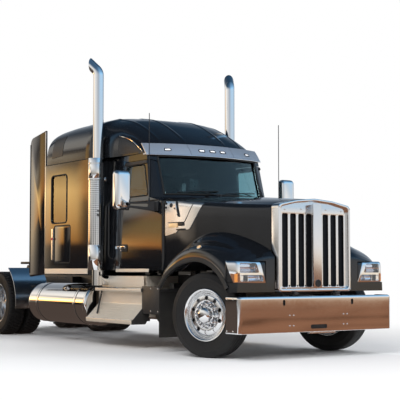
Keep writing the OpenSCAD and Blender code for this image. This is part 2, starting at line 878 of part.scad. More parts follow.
module seats() {
    floor_z = cab_z + 40 + seat;
    color("#4a4038")
        both_sides()
            union() {
                block(seat_d + 80, seat_d + 400, seat_y - 160, seat_y + 160, floor_z, 1460);
                side_prism(outline([
                    [seat_d, 1450, 40], [seat_d + 560, 1450, 40], [seat_d + 700, 2280, 60],
                    [seat_d + 580, 2300, 60], [seat_d + 440, 1600, 40], [seat_d, 1580, 50]]),
                    seat_y - 260, seat_y + 260);
            }
}
module bunk() {
    color("#5a5148")
        block(sleeper_back_d - 900, sleeper_back_d - sleeper_wall - 10, -sleeper_y + sleeper_wall + 25,
            sleeper_y - sleeper_wall - 25, sleeper_z + 50 + seat, 1690);
}

// Sleeper with a locker on each side.
sleeper_plan = [
    [sleeper_d, cab_y, 20], [sleeper_d, -cab_y, 20], [sleeper_d + 160, -sleeper_y, 60],
    [sleeper_back_d, -sleeper_y, 12], [sleeper_back_d, sleeper_y, 12],
    [sleeper_d + 160, sleeper_y, 60]];
locker_d = sleeper_back_d - 850;
locker_l = 520;
locker_z0 = 1190;
locker_z1 = 1750;
function locker_corners(g) = [
    [locker_d - g, locker_z0 - g, 40], [locker_d + locker_l + g, locker_z0 - g, 40],
    [locker_d + locker_l + g, locker_z1 + g, 40], [locker_d - g, locker_z1 + g, 40]];
module sleeper_walls() {
    difference() {
        plan_prism(outline(sleeper_plan), sleeper_z, roof_z);
        plan_prism(outline(inset(sleeper_plan, sleeper_wall)), sleeper_z + 50, roof_z + 10);
    }
}
module sleeper_shell() {
    color("#0c0d0f")
        union() {
            difference() {
                sleeper_walls();
                both_sides() {
                    side_prism(outline(locker_corners(door_gap)), sleeper_y - 100, sleeper_y + 10);
                    side_prism(outline(side_window(0)), sleeper_y - 100, sleeper_y + 10);
                }
                block(sleeper_d - 10, sleeper_d + 100, -walk_y, walk_y, cab_z + 100, roof_z - 200);
            }
            both_sides()
                locker_stop();
        }
}
// The stop that a closed locker door rests on, inside its free edge.
module locker_stop() {
    edge = locker_d + locker_l;
    inside = sleeper_y - sleeper_wall;
    mid_z = (locker_z0 + locker_z1) / 2;
    block(edge - 30, edge + 40, inside - 15, inside - seat, mid_z - 60, mid_z + 60);
    block(edge + door_gap + 4, edge + 40, inside - 15, inside + 5, mid_z - 60, mid_z + 60);
}
module locker_door(side) {
    color("#0c0d0f")
        on_side(side)
            side_prism(outline(locker_corners(0)), sleeper_y - sleeper_wall, sleeper_y);
}
module locker_door_left() { locker_door(LEFT); }
module locker_door_right() { locker_door(RIGHT); }

// Roof moulding over the cab and the sleeper.
// Columns: distance back, sweep of the front edge, half-width, rise as a share of the crown.
roof_rows = [
    [2296, 205, cab_y - 82, 0.015], [2400, 225, cab_y - 75, 0.21], [2560, 150, cab_y - 68, 0.38],
    [2780, 90, cab_y - 60, 0.57], [3040, 40, cab_y - 45, 0.76], [3300, 10, cab_y - 5, 0.90],
    [3560, 0, cab_y + 60, 0.97], [3720, 0, sleeper_y - 2, 1.0], [4500, 0, sleeper_y - 2, 1.0],
    [4950, 0, sleeper_y - 2, 0.97], [sleeper_back_d - 60, 0, sleeper_y - 4, 0.94],
    [sleeper_back_d - 59, 0, sleeper_y - 4, 0.94], [sleeper_back_d, 0, sleeper_y - 30, 0.90]];
roof_steps = 24;
roof_shell = 40;
roof_square = 3.4;
function arch_point(t, w, h) =
    let (c = cos(t), s = sin(t), p = 2 / roof_square)
    [sign(c) * w * pow(abs(c), p), h * pow(max(s, 0), p)];
function roof_curve(row, s, h) =
    [for (i = [0:roof_steps])
        let (q = arch_point(180 * i / roof_steps, row[2] - s, h))
        [front_x - row[0] - row[1] * pow(q[0] / row[2], 2), q[0], roof_z + seat + q[1]]];
module roof_cap() {
    high = roof_top - roof_z;
    last = len(roof_rows) - 1;
    color("#0c0d0f")
        shell_loft(
            [for (row = roof_rows) roof_curve(row, 0, high * row[3])],
            [for (i = [0:last])
                let (row = roof_rows[i])
                roof_curve(row, roof_shell,
                    (i == 0 || i >= last - 1) ? 0.5 : max(2, high * row[3] - roof_shell))]);
}

// Sun visor: a bent blade in front of the roof.
visor_d = 2248;
visor_y = 985;
visor_steps = 12;
visor_sweep = 235;
visor_t = 10;
// Its feet stand against the sides of the cab.
visor_foot_y = cab_y - 80 + 2.2;
function visor_row(i) =
    let (
        y = visor_y * (2 * i / visor_steps - 1),
        back = visor_sweep * pow(y / visor_y, 2),
        low = [visor_d + back, 2672],
        high = [visor_d + 130 + back, 2842])
    [
        [front_x - low[0], y, low[1]], [front_x - high[0], y, high[1]],
        [front_x - high[0] + visor_t, y, high[1] + visor_t], [front_x - low[0] + visor_t, y, low[1] + 2]];
module sun_visor() {
    color("#8d9399")
        union() {
            loft([for (i = [visor_steps:-1:0]) visor_row(i)]);
            both_sides()
                block(visor_d + visor_sweep - 20, visor_d + visor_sweep + 80, visor_foot_y, visor_y - 2,
                    2674, 2694);
        }
}

// Panels that carry the sleeper's sides on towards the trailer.
module side_extenders() {
    d0 = sleeper_back_d + seat;
    color("#0c0d0f")
        both_sides()
            side_prism(outline([
                [d0, 1010, 0], [d0 + extender_l, 970, 40], [d0 + extender_l, 3180, 120],
                [d0, 3270, 20]]), sleeper_y - 34, sleeper_y - 14);
}

// Bright guards ahead of the driven wheels, and the flaps behind them.
guard_r = 700;
guard_sheet = 8;
module quarter_fenders() {
    y0 = twin_y - twin_gap / 2 - tyre_w / 2 + 5;
    color("#d0d3d6")
        both_sides()
            union() {
                at(drive_axle_d, y0, axle_z)
                    rotate([-90, 0, 0])
                        rotate([0, 0, -56])
                            rotate_extrude(angle = 62)
                                translate([guard_r, 0])
                                    square([guard_sheet, 600]);
                at(drive_axle_d - guard_r * cos(25) - 40, rail_y + seat, axle_z + guard_r * sin(25) - 40)
                    translate([-20, 0, 0])
                        cube([45, y0 + 300 - rail_y, 45]);
            }
}
flap_t = 12;
front_flap_d = 1795;
module mud_flaps() {
    flap_d = overall_l - flap_t;
    y0 = twin_y - twin_gap / 2 - tyre_w / 2;
    color("#17181a")
        both_sides() {
            union() {
                block(flap_d, overall_l, y0, y0 + 610, 230, 960);
                block(rail_back_d - 120, overall_l, y0 - 5, y0 + 25, 930, 970);
                block(rail_back_d - 120, rail_back_d - 80, rail_y + seat, y0 + 20, 930, 970);
                block(flap_d - 30, overall_l - 2, y0, y0 + 610, 930, 970);
            }
            union() {
                block(front_flap_d, front_flap_d + flap_t, 700, 1190, 200, 830);
                block(front_flap_d, front_flap_d + 30, rail_y + seat, 1190, 800, 830);
            }
        }
}
module tail_lamps() {
    color("#7c1216")
        both_sides()
            block(rail_back_d + seat, rail_back_d + 45, 150, rail_y - 5, rail_z + 60, rail_z + 170);
}

// Bonnet. Columns: distance back, half-width, shoulder, crown, lower edge, shoulder radius.
bonnet_front_d = 200 + seat;
bonnet_rows = [
    [bonnet_front_d, grille_y + 6, 1886, 1966, 1000, 60], [400, 692, 1896, 1984, 1180, 70],
    [700, 822, 1916, 2008, 1190, 75], [1000, 918, 1942, 2032, 1190, 75],
    [1300, 985, 1966, 2054, 1190, 70], [1600, 1022, 1988, 2074, 1060, 60],
    [cowl_d - 20, cab_y - 2, 2000, 2084, cab_z, 50]];
bonnet_shell = 26;
bonnet_arc = 5;
function bonnet_half(row, s) =
    let (w = row[1] - s, shoulder = row[2] - s, crown = row[3] - s, r = max(8, row[5] - s))
    concat(
        [[w, row[4]], [w, (row[4] + shoulder - r) / 2]],
        [for (i = [0:bonnet_arc])
            let (a = 84 * i / bonnet_arc)
            [w - r + r * cos(a), shoulder - r + r * sin(a)]],
        [for (i = [1:4])
            let (t = i / 4, y = (w - r * 0.9) * (1 - t))
            [y, shoulder + (crown - shoulder) * (1 - pow(1 - t, 2))]]);
function bonnet_curve(row, s) =
    let (half = bonnet_half(row, s), n = len(half))
    concat(
        [for (p = half) [front_x - row[0], p[0], p[1]]],
        [for (i = [n - 2:-1:0]) [front_x - row[0], -half[i][0], half[i][1]]]);
module bonnet() {
    color("#0c0d0f")
        shell_loft(
            [for (row = bonnet_rows) bonnet_curve(row, 0)],
            [for (row = bonnet_rows) bonnet_curve(row, bonnet_shell)]);
}
function bonnet_y(d) = lookup(d, [for (row = bonnet_rows) [row[0], row[1]]]);

// Wings over the steered wheels, bolted to the bonnet.
// Columns: distance back, top, outer half-width below the widest.
wing_rows = [
    [110, 1215, 65], [134, 1232, 48], [135, 1233, 47], [bonnet_front_d, 1272, 15], [290, 1320, 0],
    [400, 1360, 0], [550, 1400, 0], [700, 1424, 0], [850, 1434, 0], [1000, 1430, 0], [1150, 1402, 0],
    [1300, 1348, 0], [1450, 1272, 2], [1600, 1172, 8], [1700, 1088, 16], [1760, 1025, 22]];
wing_low = grille_z;
wing_shell = 25;
wing_steps = 10;
wing_square = 3.2;
arch_front = 750;
arch_rear = 930;
function arch_z(d) =
    let (u = d - front_axle_d, a = u < 0 ? arch_front : arch_rear, k = 1 - pow(u / a, 2))
    max(wing_low, axle_z + (k > 0 ? arch_rise * sqrt(k) : 0));
function wing_inner(d) = max(grille_y + 22, bonnet_y(d) + seat);
function wing_curve(row, s, fill) =
    [for (i = [0:wing_steps])
        let (
            t = 90 * i / wing_steps,
            p = 2 / wing_square,
            y0 = wing_inner(row[0]),
            y1 = wing_y - row[2] - s,
            z0 = arch_z(row[0]),
            z1 = fill ? z0 + 0.5 : row[1] - s)
        [front_x - row[0], y0 + (y1 - y0) * pow(sin(t), p), z0 + (z1 - z0) * pow(cos(t), p)]];
module wing() {
    difference() {
        shell_loft(
            [for (row = wing_rows) reverse(wing_curve(row, 0, false))],
            [for (i = [0:len(wing_rows) - 1]) reverse(wing_curve(wing_rows[i], wing_shell, i < 2))]);
        headlamp_form(seat);
    }
}
function reverse(list) = [for (i = [len(list) - 1:-1:0]) list[i]];
module wings() {
    color("#0c0d0f")
        both_sides()
            wing();
}
// Headlamp, wrapped round the outer front corner of a wing.
lamp_y0 = 735;
lamp_z0 = 925;
lamp_z1 = 1190;
module headlamp_form(g) {
    intersection() {
        plan_prism(outline([
            [96 - g, lamp_y0 - g, 20], [250 + g, lamp_y0 - g, 0], [250 + g, wing_y - 2 + g, 0],
            [225, wing_y - 6 + g, 30], [120 - g, wing_y - 75 + g, 60]]), lamp_z0 - g, lamp_z1 + g);
        side_prism([
            [60, lamp_z0 - g], [300, lamp_z0 - g], [300, lamp_z1 + g], [150, lamp_z1 + g],
            [96 - g, lamp_z1 - 90]], lamp_y0 - 10, wing_y + 20);
    }
}
module headlamps() {
    color("#c8d0d6")
        both_sides()
            headlamp_form(0);
}
// Dark lips round the wheel arches.
lip_w = 60;
module arch_lips() {
    steps = 20;
    function lip_point(i, s) =
        let (
            t = 180 * (0.16 + 0.68 * i / steps),
            c = cos(t),
            a = (c > 0 ? arch_front : arch_rear) + s)
        [front_axle_d - a * c, axle_z + (arch_rise + s) * sin(t)];
    color("#1a1b1d")
        both_sides()
            side_prism(concat(
                [for (i = [0:steps]) lip_point(i, 2)],
                [for (i = [steps:-1:0]) lip_point(i, lip_w)]),
                wing_y + seat, wing_y + 12);
}

// Grille: a deep bright frame with upright slots and a wide centre bar.
grille_d = 58;
grille_top = 1886;
grille_peak = 1966;
grille_wall = 26;
slot_z0 = 875;
slot_z1 = 1772;
slot_bar = 39;
slot_gap = 46;
slot_border = 84;
face_in = 36;
face_t = 18;
// The centre bar: a wide blade on a narrow stem.
blade_d = 12;
blade_t = 18;
blade_half = 68;
stem_half = 20;
function grille_rim(s) = [
    [-grille_y + s, grille_z + s, 40], [grille_y - s, grille_z + s, 40],
    [grille_y - s, grille_top - s, 60], [grille_y * 0.5, grille_top + 56 - s, 400],
    [0, grille_peak - s, 300], [-grille_y * 0.5, grille_top + 56 - s, 400],
    [-grille_y + s, grille_top - s, 60]];
module grille() {
    span = grille_y - slot_border - slot_gap / 2;
    face_d = grille_d + face_in;
    slot_w = (span - (grille_slots - 1) * slot_bar) / grille_slots;
    color("#c4c8cc")
        difference() {
            union() {
                difference() {
                    front_prism(outline(grille_rim(0)), grille_d, bonnet_front_d - seat);
                    front_prism(outline(grille_rim(grille_wall)), face_d + face_t, bonnet_front_d + 10);
                    front_prism(outline(grille_rim(grille_wall + 6)), grille_d - 10, face_d);
                    for (side = [LEFT, RIGHT], i = [0:grille_slots - 1]) {
                        y0 = slot_gap / 2 + i * (slot_w + slot_bar);
                        on_side(side)
                            front_prism(outline([
                                [y0, slot_z0, 20], [y0 + slot_w, slot_z0, 20],
                                [y0 + slot_w, slot_z1, 20], [y0, slot_z1, 20]]), face_d - 10, face_d + 30);
                    }
                }
                block(blade_d, blade_d + blade_t, -blade_half, blade_half, slot_z0 - 7, grille_top);
                block(blade_d + blade_t - 5, face_d + 5, -stem_half, stem_half, slot_z0 - 7, grille_top);
                both_sides() {
                    at(hinge_d, hinge_y - ear_half, hinge_z)
                        cross_bar(hinge_eye_r, 0, 2 * ear_half);
                    side_prism([
                        [hinge_d - 4, hinge_z + 12], [hinge_d + 12, hinge_z - 8], [grille_d + 40, grille_z + 4],
                        [grille_d + 4, grille_z + 4]], hinge_y - ear_half, hinge_y + ear_half);
                }
            }
            at(hinge_d, 0, hinge_z)
                cross_bar(hinge_pin_r + run, -hinge_y - 40, hinge_y + 40);
        }
}
// Polished panels on the sides of the bonnet's rear end.
module cowl_panels() {
    rows = [[1190, 1890, 1900], [1300, 1655, 1915], [1600, 1565, 1935], [1790, 1527, 1945]];
    color("#d3d6d8")
        both_sides()
            loft([for (row = rows)
                let (y = bonnet_y(row[0]), x = front_x - row[0])
                [[x, y + seat, row[1]], [x, y + seat, row[2]], [x, y + 12, row[2]], [x, y + 12, row[1]]]]);
}

// Wheels. Local Z points outwards from the truck, from the tyre's centre.
rim_half = 128;
flange_t = 12;
bead_r = 290;
hub_bore_out = 58;
twin_bore_out = 96;
hole_n = 10;
hole_r = 29;
hole_pitch_r = 215;
module rim_profile() {
    polygon([
        [rim_d / 2, -rim_half], [rim_d / 2, -rim_half + flange_t], [bead_r, -rim_half + flange_t + 4],
        [bead_r, rim_half - flange_t - 4], [rim_d / 2, rim_half - flange_t], [rim_d / 2, rim_half],
        [bead_r - 14, rim_half], [bead_r - 14, -rim_half]]);
}
module tyre_ring() {
    half = tyre_w / 2;
    r = tyre_d / 2;
    bead = rim_half - flange_t - 4.5;
    rotate_extrude($fn = 96)
        polygon([
            [bead_r + seat, -bead], [rim_d / 2 + 1, -bead], [rim_d / 2 + 20, -half + 14],
            [390, -half + 2], [430, -half], [r - 46, -half + 3], [r - 18, -half + 10], [r - 4, -half + 24],
            [r, -half + 42], [r, half - 42], [r - 4, half - 24], [r - 18, half - 10], [r - 46, half - 3],
            [430, half], [390, half - 2], [rim_d / 2 + 20, half - 14], [rim_d / 2 + 1, bead],
            [bead_r + seat, bead]]);
}
module hand_holes(z0, z1) {
    for (i = [0:hole_n - 1])
        rotate([0, 0, 360 * (i + 0.5) / hole_n])
            translate([hole_pitch_r, 0, z0])
                cylinder(r = hole_r, h = z1 - z0);
}
module outwards() {
    rotate([-90, 0, 0])
        children();
}
module front_tyre(side) {
    color("#1b1b1c")
        at_kingpin(side)
            translate([0, steer_y - kingpin_y, 0])
                outwards()
                    tyre_ring();
}
module front_wheel(side) {
    hub_z = hub_in - (steer_y - kingpin_y);
    color("#d6d8da")
        at_kingpin(side)
            translate([0, steer_y - kingpin_y, 0])
                outwards()
                    difference() {
                        rotate_extrude($fn = 96) {
                            rim_profile();
                            polygon([
                                [bead_r - 10, 20], [bead_r - 10, 52], [250, 88], [170, 96], [150, 84],
                                [120, 84], [112, 150], [90, 172], [0, 180], [0, hub_z], [120, hub_z],
                                [120, 30], [150, 62], [240, 62]]);
                            polygon([[190, hub_z - 45], [205, hub_z - 45], [205, 40], [110, 66], [110, 40], [190, 20]]);
                        }
                        translate([0, 0, hub_z - 1])
                            cylinder(r = spindle_r + run, h = hub_bore_out - hub_z + 1);
                        hand_holes(22, 120);
                    }
}
module front_tyre_left() { front_tyre(LEFT); }
module front_tyre_right() { front_tyre(RIGHT); }
module front_wheel_left() { front_wheel(LEFT); }
module front_wheel_right() { front_wheel(RIGHT); }

module at_twin(d, side) {
    at(d, side * twin_y, axle_z)
        on_side(side)
            outwards()
                children();
}
module drive_tyres(d, side) {
    color("#1b1b1c")
        at_twin(d, side)
            for (z = [-twin_gap / 2, twin_gap / 2])
                translate([0, 0, z])
                    tyre_ring();
}
module drive_wheels(d, side) {
    hub_z = -150;
    color("#d6d8da")
        at_twin(d, side)
            difference() {
                rotate_extrude($fn = 96) {
                    for (z = [-twin_gap / 2, twin_gap / 2])
                        translate([0, z])
                            rim_profile();
                    polygon([
                        [bead_r - 10, 60], [bead_r - 10, 96], [262, 60], [246, 24], [160, 22], [150, 60],
                        [120, 64], [112, 150], [0, 156], [0, hub_z], [110, hub_z], [110, -24],
                        [246, -24], [262, -60], [bead_r - 10, -96], [bead_r - 10, -60], [270, -20], [270, 20]]);
                    polygon([[190, hub_z - 130], [206, hub_z - 130], [206, -20], [190, -20]]);
                }
                translate([0, 0, hub_z - 1])
                    cylinder(r = drive_spindle_r + run, h = twin_bore_out - hub_z + 1);
                hand_holes(-28, 60);
            }
}
module drive_tyres_1_left() { drive_tyres(drive_axle_d, LEFT); }
module drive_tyres_1_right() { drive_tyres(drive_axle_d, RIGHT); }
module drive_tyres_2_left() { drive_tyres(drive_axle_d + tandem, LEFT); }
module drive_tyres_2_right() { drive_tyres(drive_axle_d + tandem, RIGHT); }
module drive_wheels_1_left() { drive_wheels(drive_axle_d, LEFT); }
module drive_wheels_1_right() { drive_wheels(drive_axle_d, RIGHT); }
module drive_wheels_2_left() { drive_wheels(drive_axle_d + tandem, LEFT); }
module drive_wheels_2_right() { drive_wheels(drive_axle_d + tandem, RIGHT); }

frame_rails();
bumper();
front_axle();
front_springs();
engine_block();
radiator();
drive_line();
rear_suspension();
coupling_mount();
coupling_plate();
fuel_tanks();
cab_steps();
air_tanks();
exhaust_stacks();
cab_shell();
body_glass();
dashboard();
steering_wheel();
seats();
bunk();
sleeper_shell();
roof_cap();
sun_visor();
side_extenders();
quarter_fenders();
mud_flaps();
tail_lamps();
bonnet();
wings();
grille();
headlamps();
arch_lips();
cowl_panels();
door_left();
door_right();
door_glass_left();
door_glass_right();
mirror_left();
mirror_right();
locker_door_left();
locker_door_right();
knuckle_left();
knuckle_right();
tie_rod();
front_tyre_left();
front_tyre_right();
front_wheel_left();
front_wheel_right();
drive_tyres_1_left();
drive_tyres_1_right();
drive_tyres_2_left();
drive_tyres_2_right();
drive_wheels_1_left();
drive_wheels_1_right();
drive_wheels_2_left();
drive_wheels_2_right();
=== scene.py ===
# %% [markdown]
# # A long-nose sleeper tractor unit
# The CAD model gives every solid, joint and size. This lesson dresses it: smooth skins over the
# faceted panels, polished metal, tyres with tread, lamps and trim. All numbers are metres in the
# frame of the CAD model: +X forward, +Y to the driver's left, +Z up, ground at zero.

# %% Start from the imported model
from contextlib import contextmanager
from math import atan2, cos, exp, pi, radians, sin, sqrt, tan

import bmesh
import bpy
import numpy as np
from mathutils import Matrix, Vector


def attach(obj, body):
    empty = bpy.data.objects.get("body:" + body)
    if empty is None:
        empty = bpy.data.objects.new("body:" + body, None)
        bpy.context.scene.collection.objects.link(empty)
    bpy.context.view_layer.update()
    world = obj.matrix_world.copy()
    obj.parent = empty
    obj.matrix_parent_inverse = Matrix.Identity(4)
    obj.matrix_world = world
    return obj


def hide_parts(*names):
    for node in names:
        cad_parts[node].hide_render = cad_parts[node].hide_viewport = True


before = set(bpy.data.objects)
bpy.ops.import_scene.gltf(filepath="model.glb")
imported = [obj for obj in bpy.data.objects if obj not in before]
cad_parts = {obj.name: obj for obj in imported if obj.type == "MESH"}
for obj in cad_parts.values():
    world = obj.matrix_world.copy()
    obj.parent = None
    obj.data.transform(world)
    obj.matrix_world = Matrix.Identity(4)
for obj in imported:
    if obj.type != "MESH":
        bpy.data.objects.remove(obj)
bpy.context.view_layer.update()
FRONT = 4.45

# %% [markdown]
# ## Camera
# A long lens from the front right corner, a little lower than the driver's waist and tipped up.
# The place and the turn come from matching wheels, bumper and stacks to their places in the picture.

# %% Camera
EYE = Vector((14.861, -8.848, 1.087))
YAW, TIP = radians(55.79), radians(3.619)
SENSOR, FOCAL_PX, WIDTH_PX = 36, 1099.061, 400
lens_data = bpy.data.cameras.new("view")
lens_data.sensor_width = SENSOR
lens_data.lens = SENSOR * FOCAL_PX / WIDTH_PX
lens_data.clip_end = 400
camera = bpy.data.objects.new("view", lens_data)
bpy.context.scene.collection.objects.link(camera)
look = Vector((-sin(YAW) * cos(TIP), cos(YAW) * cos(TIP), sin(TIP)))
camera.location = EYE
camera.rotation_euler = look.to_track_quat("-Z", "Y").to_euler()
bpy.context.scene.camera = camera
bpy.context.scene.view_settings.view_transform = "Standard"
print("lens", round(lens_data.lens, 1), "mm")

# %% [markdown]
# ## Making meshes
# Four small helpers do most of the work: a skin through rows of points, a spun profile, a flat plate
# with holes, and a tube along a path. Each piece stays at the origin, with its place in its mesh, so
# that patterns on Object coordinates stay put when a door or the bonnet swings.

# %% Helpers for meshes
COLLECTION = bpy.context.scene.collection


def x_of(d):
    """World X of a place d behind the bumper's face."""
    return FRONT - d


def in_scene(name, data):
    obj = bpy.data.objects.new(name, data)
    COLLECTION.objects.link(obj)
    return obj


def loose(name, verts, faces=()):
    """An object whose mesh is just what is given."""
    mesh = bpy.data.meshes.new(name)
    mesh.from_pydata([tuple(v) for v in verts], [], faces)
    return in_scene(name, mesh)


@contextmanager
def editing(obj):
    """Opens an object's mesh for edits and writes it back."""
    bm = bmesh.new()
    bm.from_mesh(obj.data)
    yield bm
    bm.to_mesh(obj.data)
    bm.free()


def shade(obj, sharp=35):
    """Smooths all but the sharp edges."""
    obj.data.shade_smooth()
    obj.data.set_sharp_from_angle(angle=radians(sharp))
    return obj


def clean(obj, sharp=35):
    """Merges doubles, turns the faces outwards and smooths."""
    with editing(obj) as bm:
        bmesh.ops.remove_doubles(bm, verts=bm.verts, dist=1e-5)
        bmesh.ops.recalc_face_normals(bm, faces=bm.faces)
    return shade(obj, sharp)


def piece(name, verts, faces, sharp=35):
    return clean(loose(name, verts, faces), sharp)


def settle(obj, sharp=35):
    """Turns what the modifiers show into the object's own plain mesh."""
    bpy.context.view_layer.update()
    shown = obj.evaluated_get(bpy.context.evaluated_depsgraph_get())
    mesh = bpy.data.meshes.new_from_object(shown)
    if obj.type == "MESH":
        obj.modifiers.clear()
        obj.data = mesh
    else:
        name = obj.name
        bpy.data.objects.remove(obj)
        obj = in_scene(name, mesh)
    return shade(obj, sharp)


def modified(obj, kind, sharp=35, **settings):
    """Runs one modifier and keeps what it makes."""
    m = obj.modifiers.new(kind.lower(), kind)
    for key, value in settings.items():
        setattr(m, key, value)
    return settle(obj, sharp)


def bevel(obj, width, steps=2, angle=35):
    return modified(obj, "BEVEL", width=width, segments=steps, limit_method="ANGLE",
                    angle_limit=radians(angle), harden_normals=False)


def thicken(obj, depth):
    """Gives a skin a wall, towards the inside."""
    return modified(obj, "SOLIDIFY", thickness=depth, offset=-1, use_even_offset=True)


def cut(obj, cutters, keep=False, sharp=35):
    """Takes the cutters away from a closed piece, or keeps only what they share."""
    for c in cutters:
        m = obj.modifiers.new("cut", "BOOLEAN")
        m.operation = "INTERSECT" if keep else "DIFFERENCE"
        m.solver = "EXACT"
        m.object = c
    settle(obj, sharp)
    for c in cutters:
        bpy.data.objects.remove(c)
    return obj


def copy_of(obj, name):
    return in_scene(name, obj.data.copy())


def twin(obj, name):
    """A copy on the other side of the truck."""
    other = copy_of(obj, name)
    with editing(other) as bm:
        for v in bm.verts:
            v.co.y = -v.co.y
        bmesh.ops.reverse_faces(bm, faces=bm.faces)
    return other


def join(name, parts, sharp=35):
    """One piece out of several that share a finish."""
    bm = bmesh.new()
    for p in parts:
        p.data.transform(p.matrix_world)
        bm.from_mesh(p.data)
        bpy.data.objects.remove(p)
    mesh = bpy.data.meshes.new(name)
    bm.to_mesh(mesh)
    bm.free()
    return shade(in_scene(name, mesh), sharp)


def both_of(parts, name, sharp=35):
    """Parts of the left side and their mirror image, as one piece."""
    left = join(name + "_left", parts, sharp)
    return join(name, [left, twin(left, name + "_right")], sharp)


def drop(*forms):
    for f in forms:
        bpy.data.objects.remove(f)


def turns(n, first=0.0):
    """Angles that divide a full turn by n."""
    return [2 * pi * k / n + first for k in range(n)]


def grid_faces(rows, n, loop=False):
    """Faces between rows of n points; loop closes each row."""
    return [(i * n + j, i * n + (j + 1) % n, (i + 1) * n + (j + 1) % n, (i + 1) * n + j)
            for i in range(rows - 1) for j in range(n if loop else n - 1)]


def skin(name, rows, loop=False, caps=False, sharp=35):
    """A skin through rows of points; loop closes each row, caps close the first and the last."""
    n = len(rows[0])
    verts = [p for row in rows for p in row]
    faces = grid_faces(len(rows), n, loop)
    if caps:
        faces += [tuple(range(n)), tuple(range((len(rows) - 1) * n, len(rows) * n))]
    return piece(name, verts, faces, sharp)


def spun(name, profile, place=Matrix(), steps=64, closed=False, sharp=35):
    """A profile of (radius, height) turned about local Z."""
    rows = [[place @ Vector((r * cos(a), r * sin(a), h)) for a in turns(steps)] for r, h in profile]
    if closed:
        rows.append(rows[0])
    return skin(name, rows, loop=True, sharp=sharp)


def plate(name, loops, depth, place=Matrix(), round_edge=0.0, steps=2, sharp=35):
    """A flat plate from outlines in local X and Y; the loops after the first are holes."""
    curve = bpy.data.curves.new(name, "CURVE")
    curve.dimensions = "2D"
    curve.fill_mode = "BOTH"
    curve.extrude = depth / 2 - round_edge
    curve.bevel_depth = round_edge
    curve.bevel_resolution = steps
    curve.offset = -round_edge
    for loop in loops:
        spline = curve.splines.new("POLY")
        spline.points.add(len(loop) - 1)
        for point, (u, v) in zip(spline.points, loop):
            point.co = (u, v, 0, 1)
        spline.use_cyclic_u = True
    obj = settle(in_scene(name, curve))
    obj.data.transform(place)
    return clean(obj, sharp)


def tube(name, path, radius, steps=16, sharp=50, taper=None):
    """A round bar along a path, with closed ends."""
    path = [Vector(p) for p in path]
    rows = []
    side = None
    for i, p in enumerate(path):
        ahead = (path[min(i + 1, len(path) - 1)] - path[max(i - 1, 0)]).normalized()
        if side is None:
            side = ahead.orthogonal().normalized()
        side = (side - ahead * side.dot(ahead)).normalized()
        up = ahead.cross(side)
        r = radius * (taper[i] if taper else 1)
        rows.append([p + r * (cos(a) * side + sin(a) * up) for a in turns(steps)])
    return skin(name, rows, loop=True, caps=True, sharp=sharp)


def slab(name, low, high, soft=0.004, steps=2):
    """A box with soft edges."""
    (x0, y0, z0), (x1, y1, z1) = low, high
    verts = [(x, y, z) for z in (z0, z1) for y in (y0, y1) for x in (x0, x1)]
    faces = [(0, 2, 3, 1), (4, 5, 7, 6), (0, 1, 5, 4), (2, 6, 7, 3), (0, 4, 6, 2), (1, 3, 7, 5)]
    return bevel(piece(name, verts, faces), soft, steps)


def block(name, d0, d1, y0, y1, z0, z1, soft=0.004, steps=2):
    """A soft-edged box given by its place behind the bumper."""
    return slab(name, (x_of(d1), y0, z0), (x_of(d0), y1, z1), soft, steps)


def rounded(corners, steps=8):
    """An outline from corners of (u, v, radius)."""
    out = []
    n = len(corners)
    for i in range(n):
        a, b, c = (Vector(corners[(i + k) % n][:2]) for k in (-1, 0, 1))
        r = corners[i][2]
        if r == 0:
            out.append(tuple(b))
            continue
        u, v = (a - b).normalized(), (c - b).normalized()
        half = u.angle(v) / 2
        centre = b + (u + v).normalized() * r / sin(half)
        p, q = b + u * r / tan(half) - centre, b + v * r / tan(half) - centre
        a0 = atan2(p.y, p.x)
        turn = (atan2(q.y, q.x) - a0 + 3 * pi) % (2 * pi) - pi
        out += [(centre.x + r * cos(a0 + turn * k / steps), centre.y + r * sin(a0 + turn * k / steps))
                for k in range(steps + 1)]
    return out


def oblong(u0, u1, v0, v1, r, steps=8):
    """A rectangle with rounded corners."""
    return rounded([(u0, v0, r), (u1, v0, r), (u1, v1, r), (u0, v1, r)], steps)


def frame_of(right, up, out, spot):
    """Matrix that lays local X, Y and Z along three directions."""
    m = Matrix.Identity(4)
    for k, v in enumerate((right, up, out, spot)):
        m.col[k][:3] = v
    return m


def side_face(y):
    """Outlines of (distance back, height), laid against the left side at y."""
    return frame_of((-1, 0, 0), (0, 0, 1), (0, 1, 0), (FRONT, y, 0))


def front_face(d):
    """Outlines of (y, height), facing forward."""
    return frame_of((0, 1, 0), (0, 0, 1), (1, 0, 0), (x_of(d), 0, 0))


def smooth_rows(rows, per_span):
    """More rows through the given ones, on a curve that doesn't overshoot."""
    rows = np.array(rows, float)
    d = rows[:, 0]
    slopes = np.diff(rows, axis=0) / np.diff(d)[:, None]
    tangents = np.zeros_like(rows)
    tangents[0], tangents[-1] = slopes[0], slopes[-1]
    for i in range(1, len(rows) - 1):
        same = slopes[i - 1] * slopes[i] > 0
        with np.errstate(divide="ignore", invalid="ignore"):
            mean = 2 * slopes[i - 1] * slopes[i] / (slopes[i - 1] + slopes[i])
        tangents[i] = np.where(same, mean, 0)
    out = []
    for i in range(len(rows) - 1):
        h = d[i + 1] - d[i]
        for k in range(per_span):
            t = k / per_span
            out.append((1 + 2 * t) * (1 - t) ** 2 * rows[i] + t * (1 - t) ** 2 * h * tangents[i]
                       + t * t * (3 - 2 * t) * rows[i + 1] + t * t * (t - 1) * h * tangents[i + 1])
    out.append(rows[-1])
    return out


print("helpers ready")

# %% [markdown]
# ## Finishes
# Each finish is one Principled material. What several finishes share is a node group built once:
# fine marks that vary the gloss, brushed lines that run one way, and road dust that thickens
# towards the ground. All of them read Object coordinates, so nothing slides from view to view.

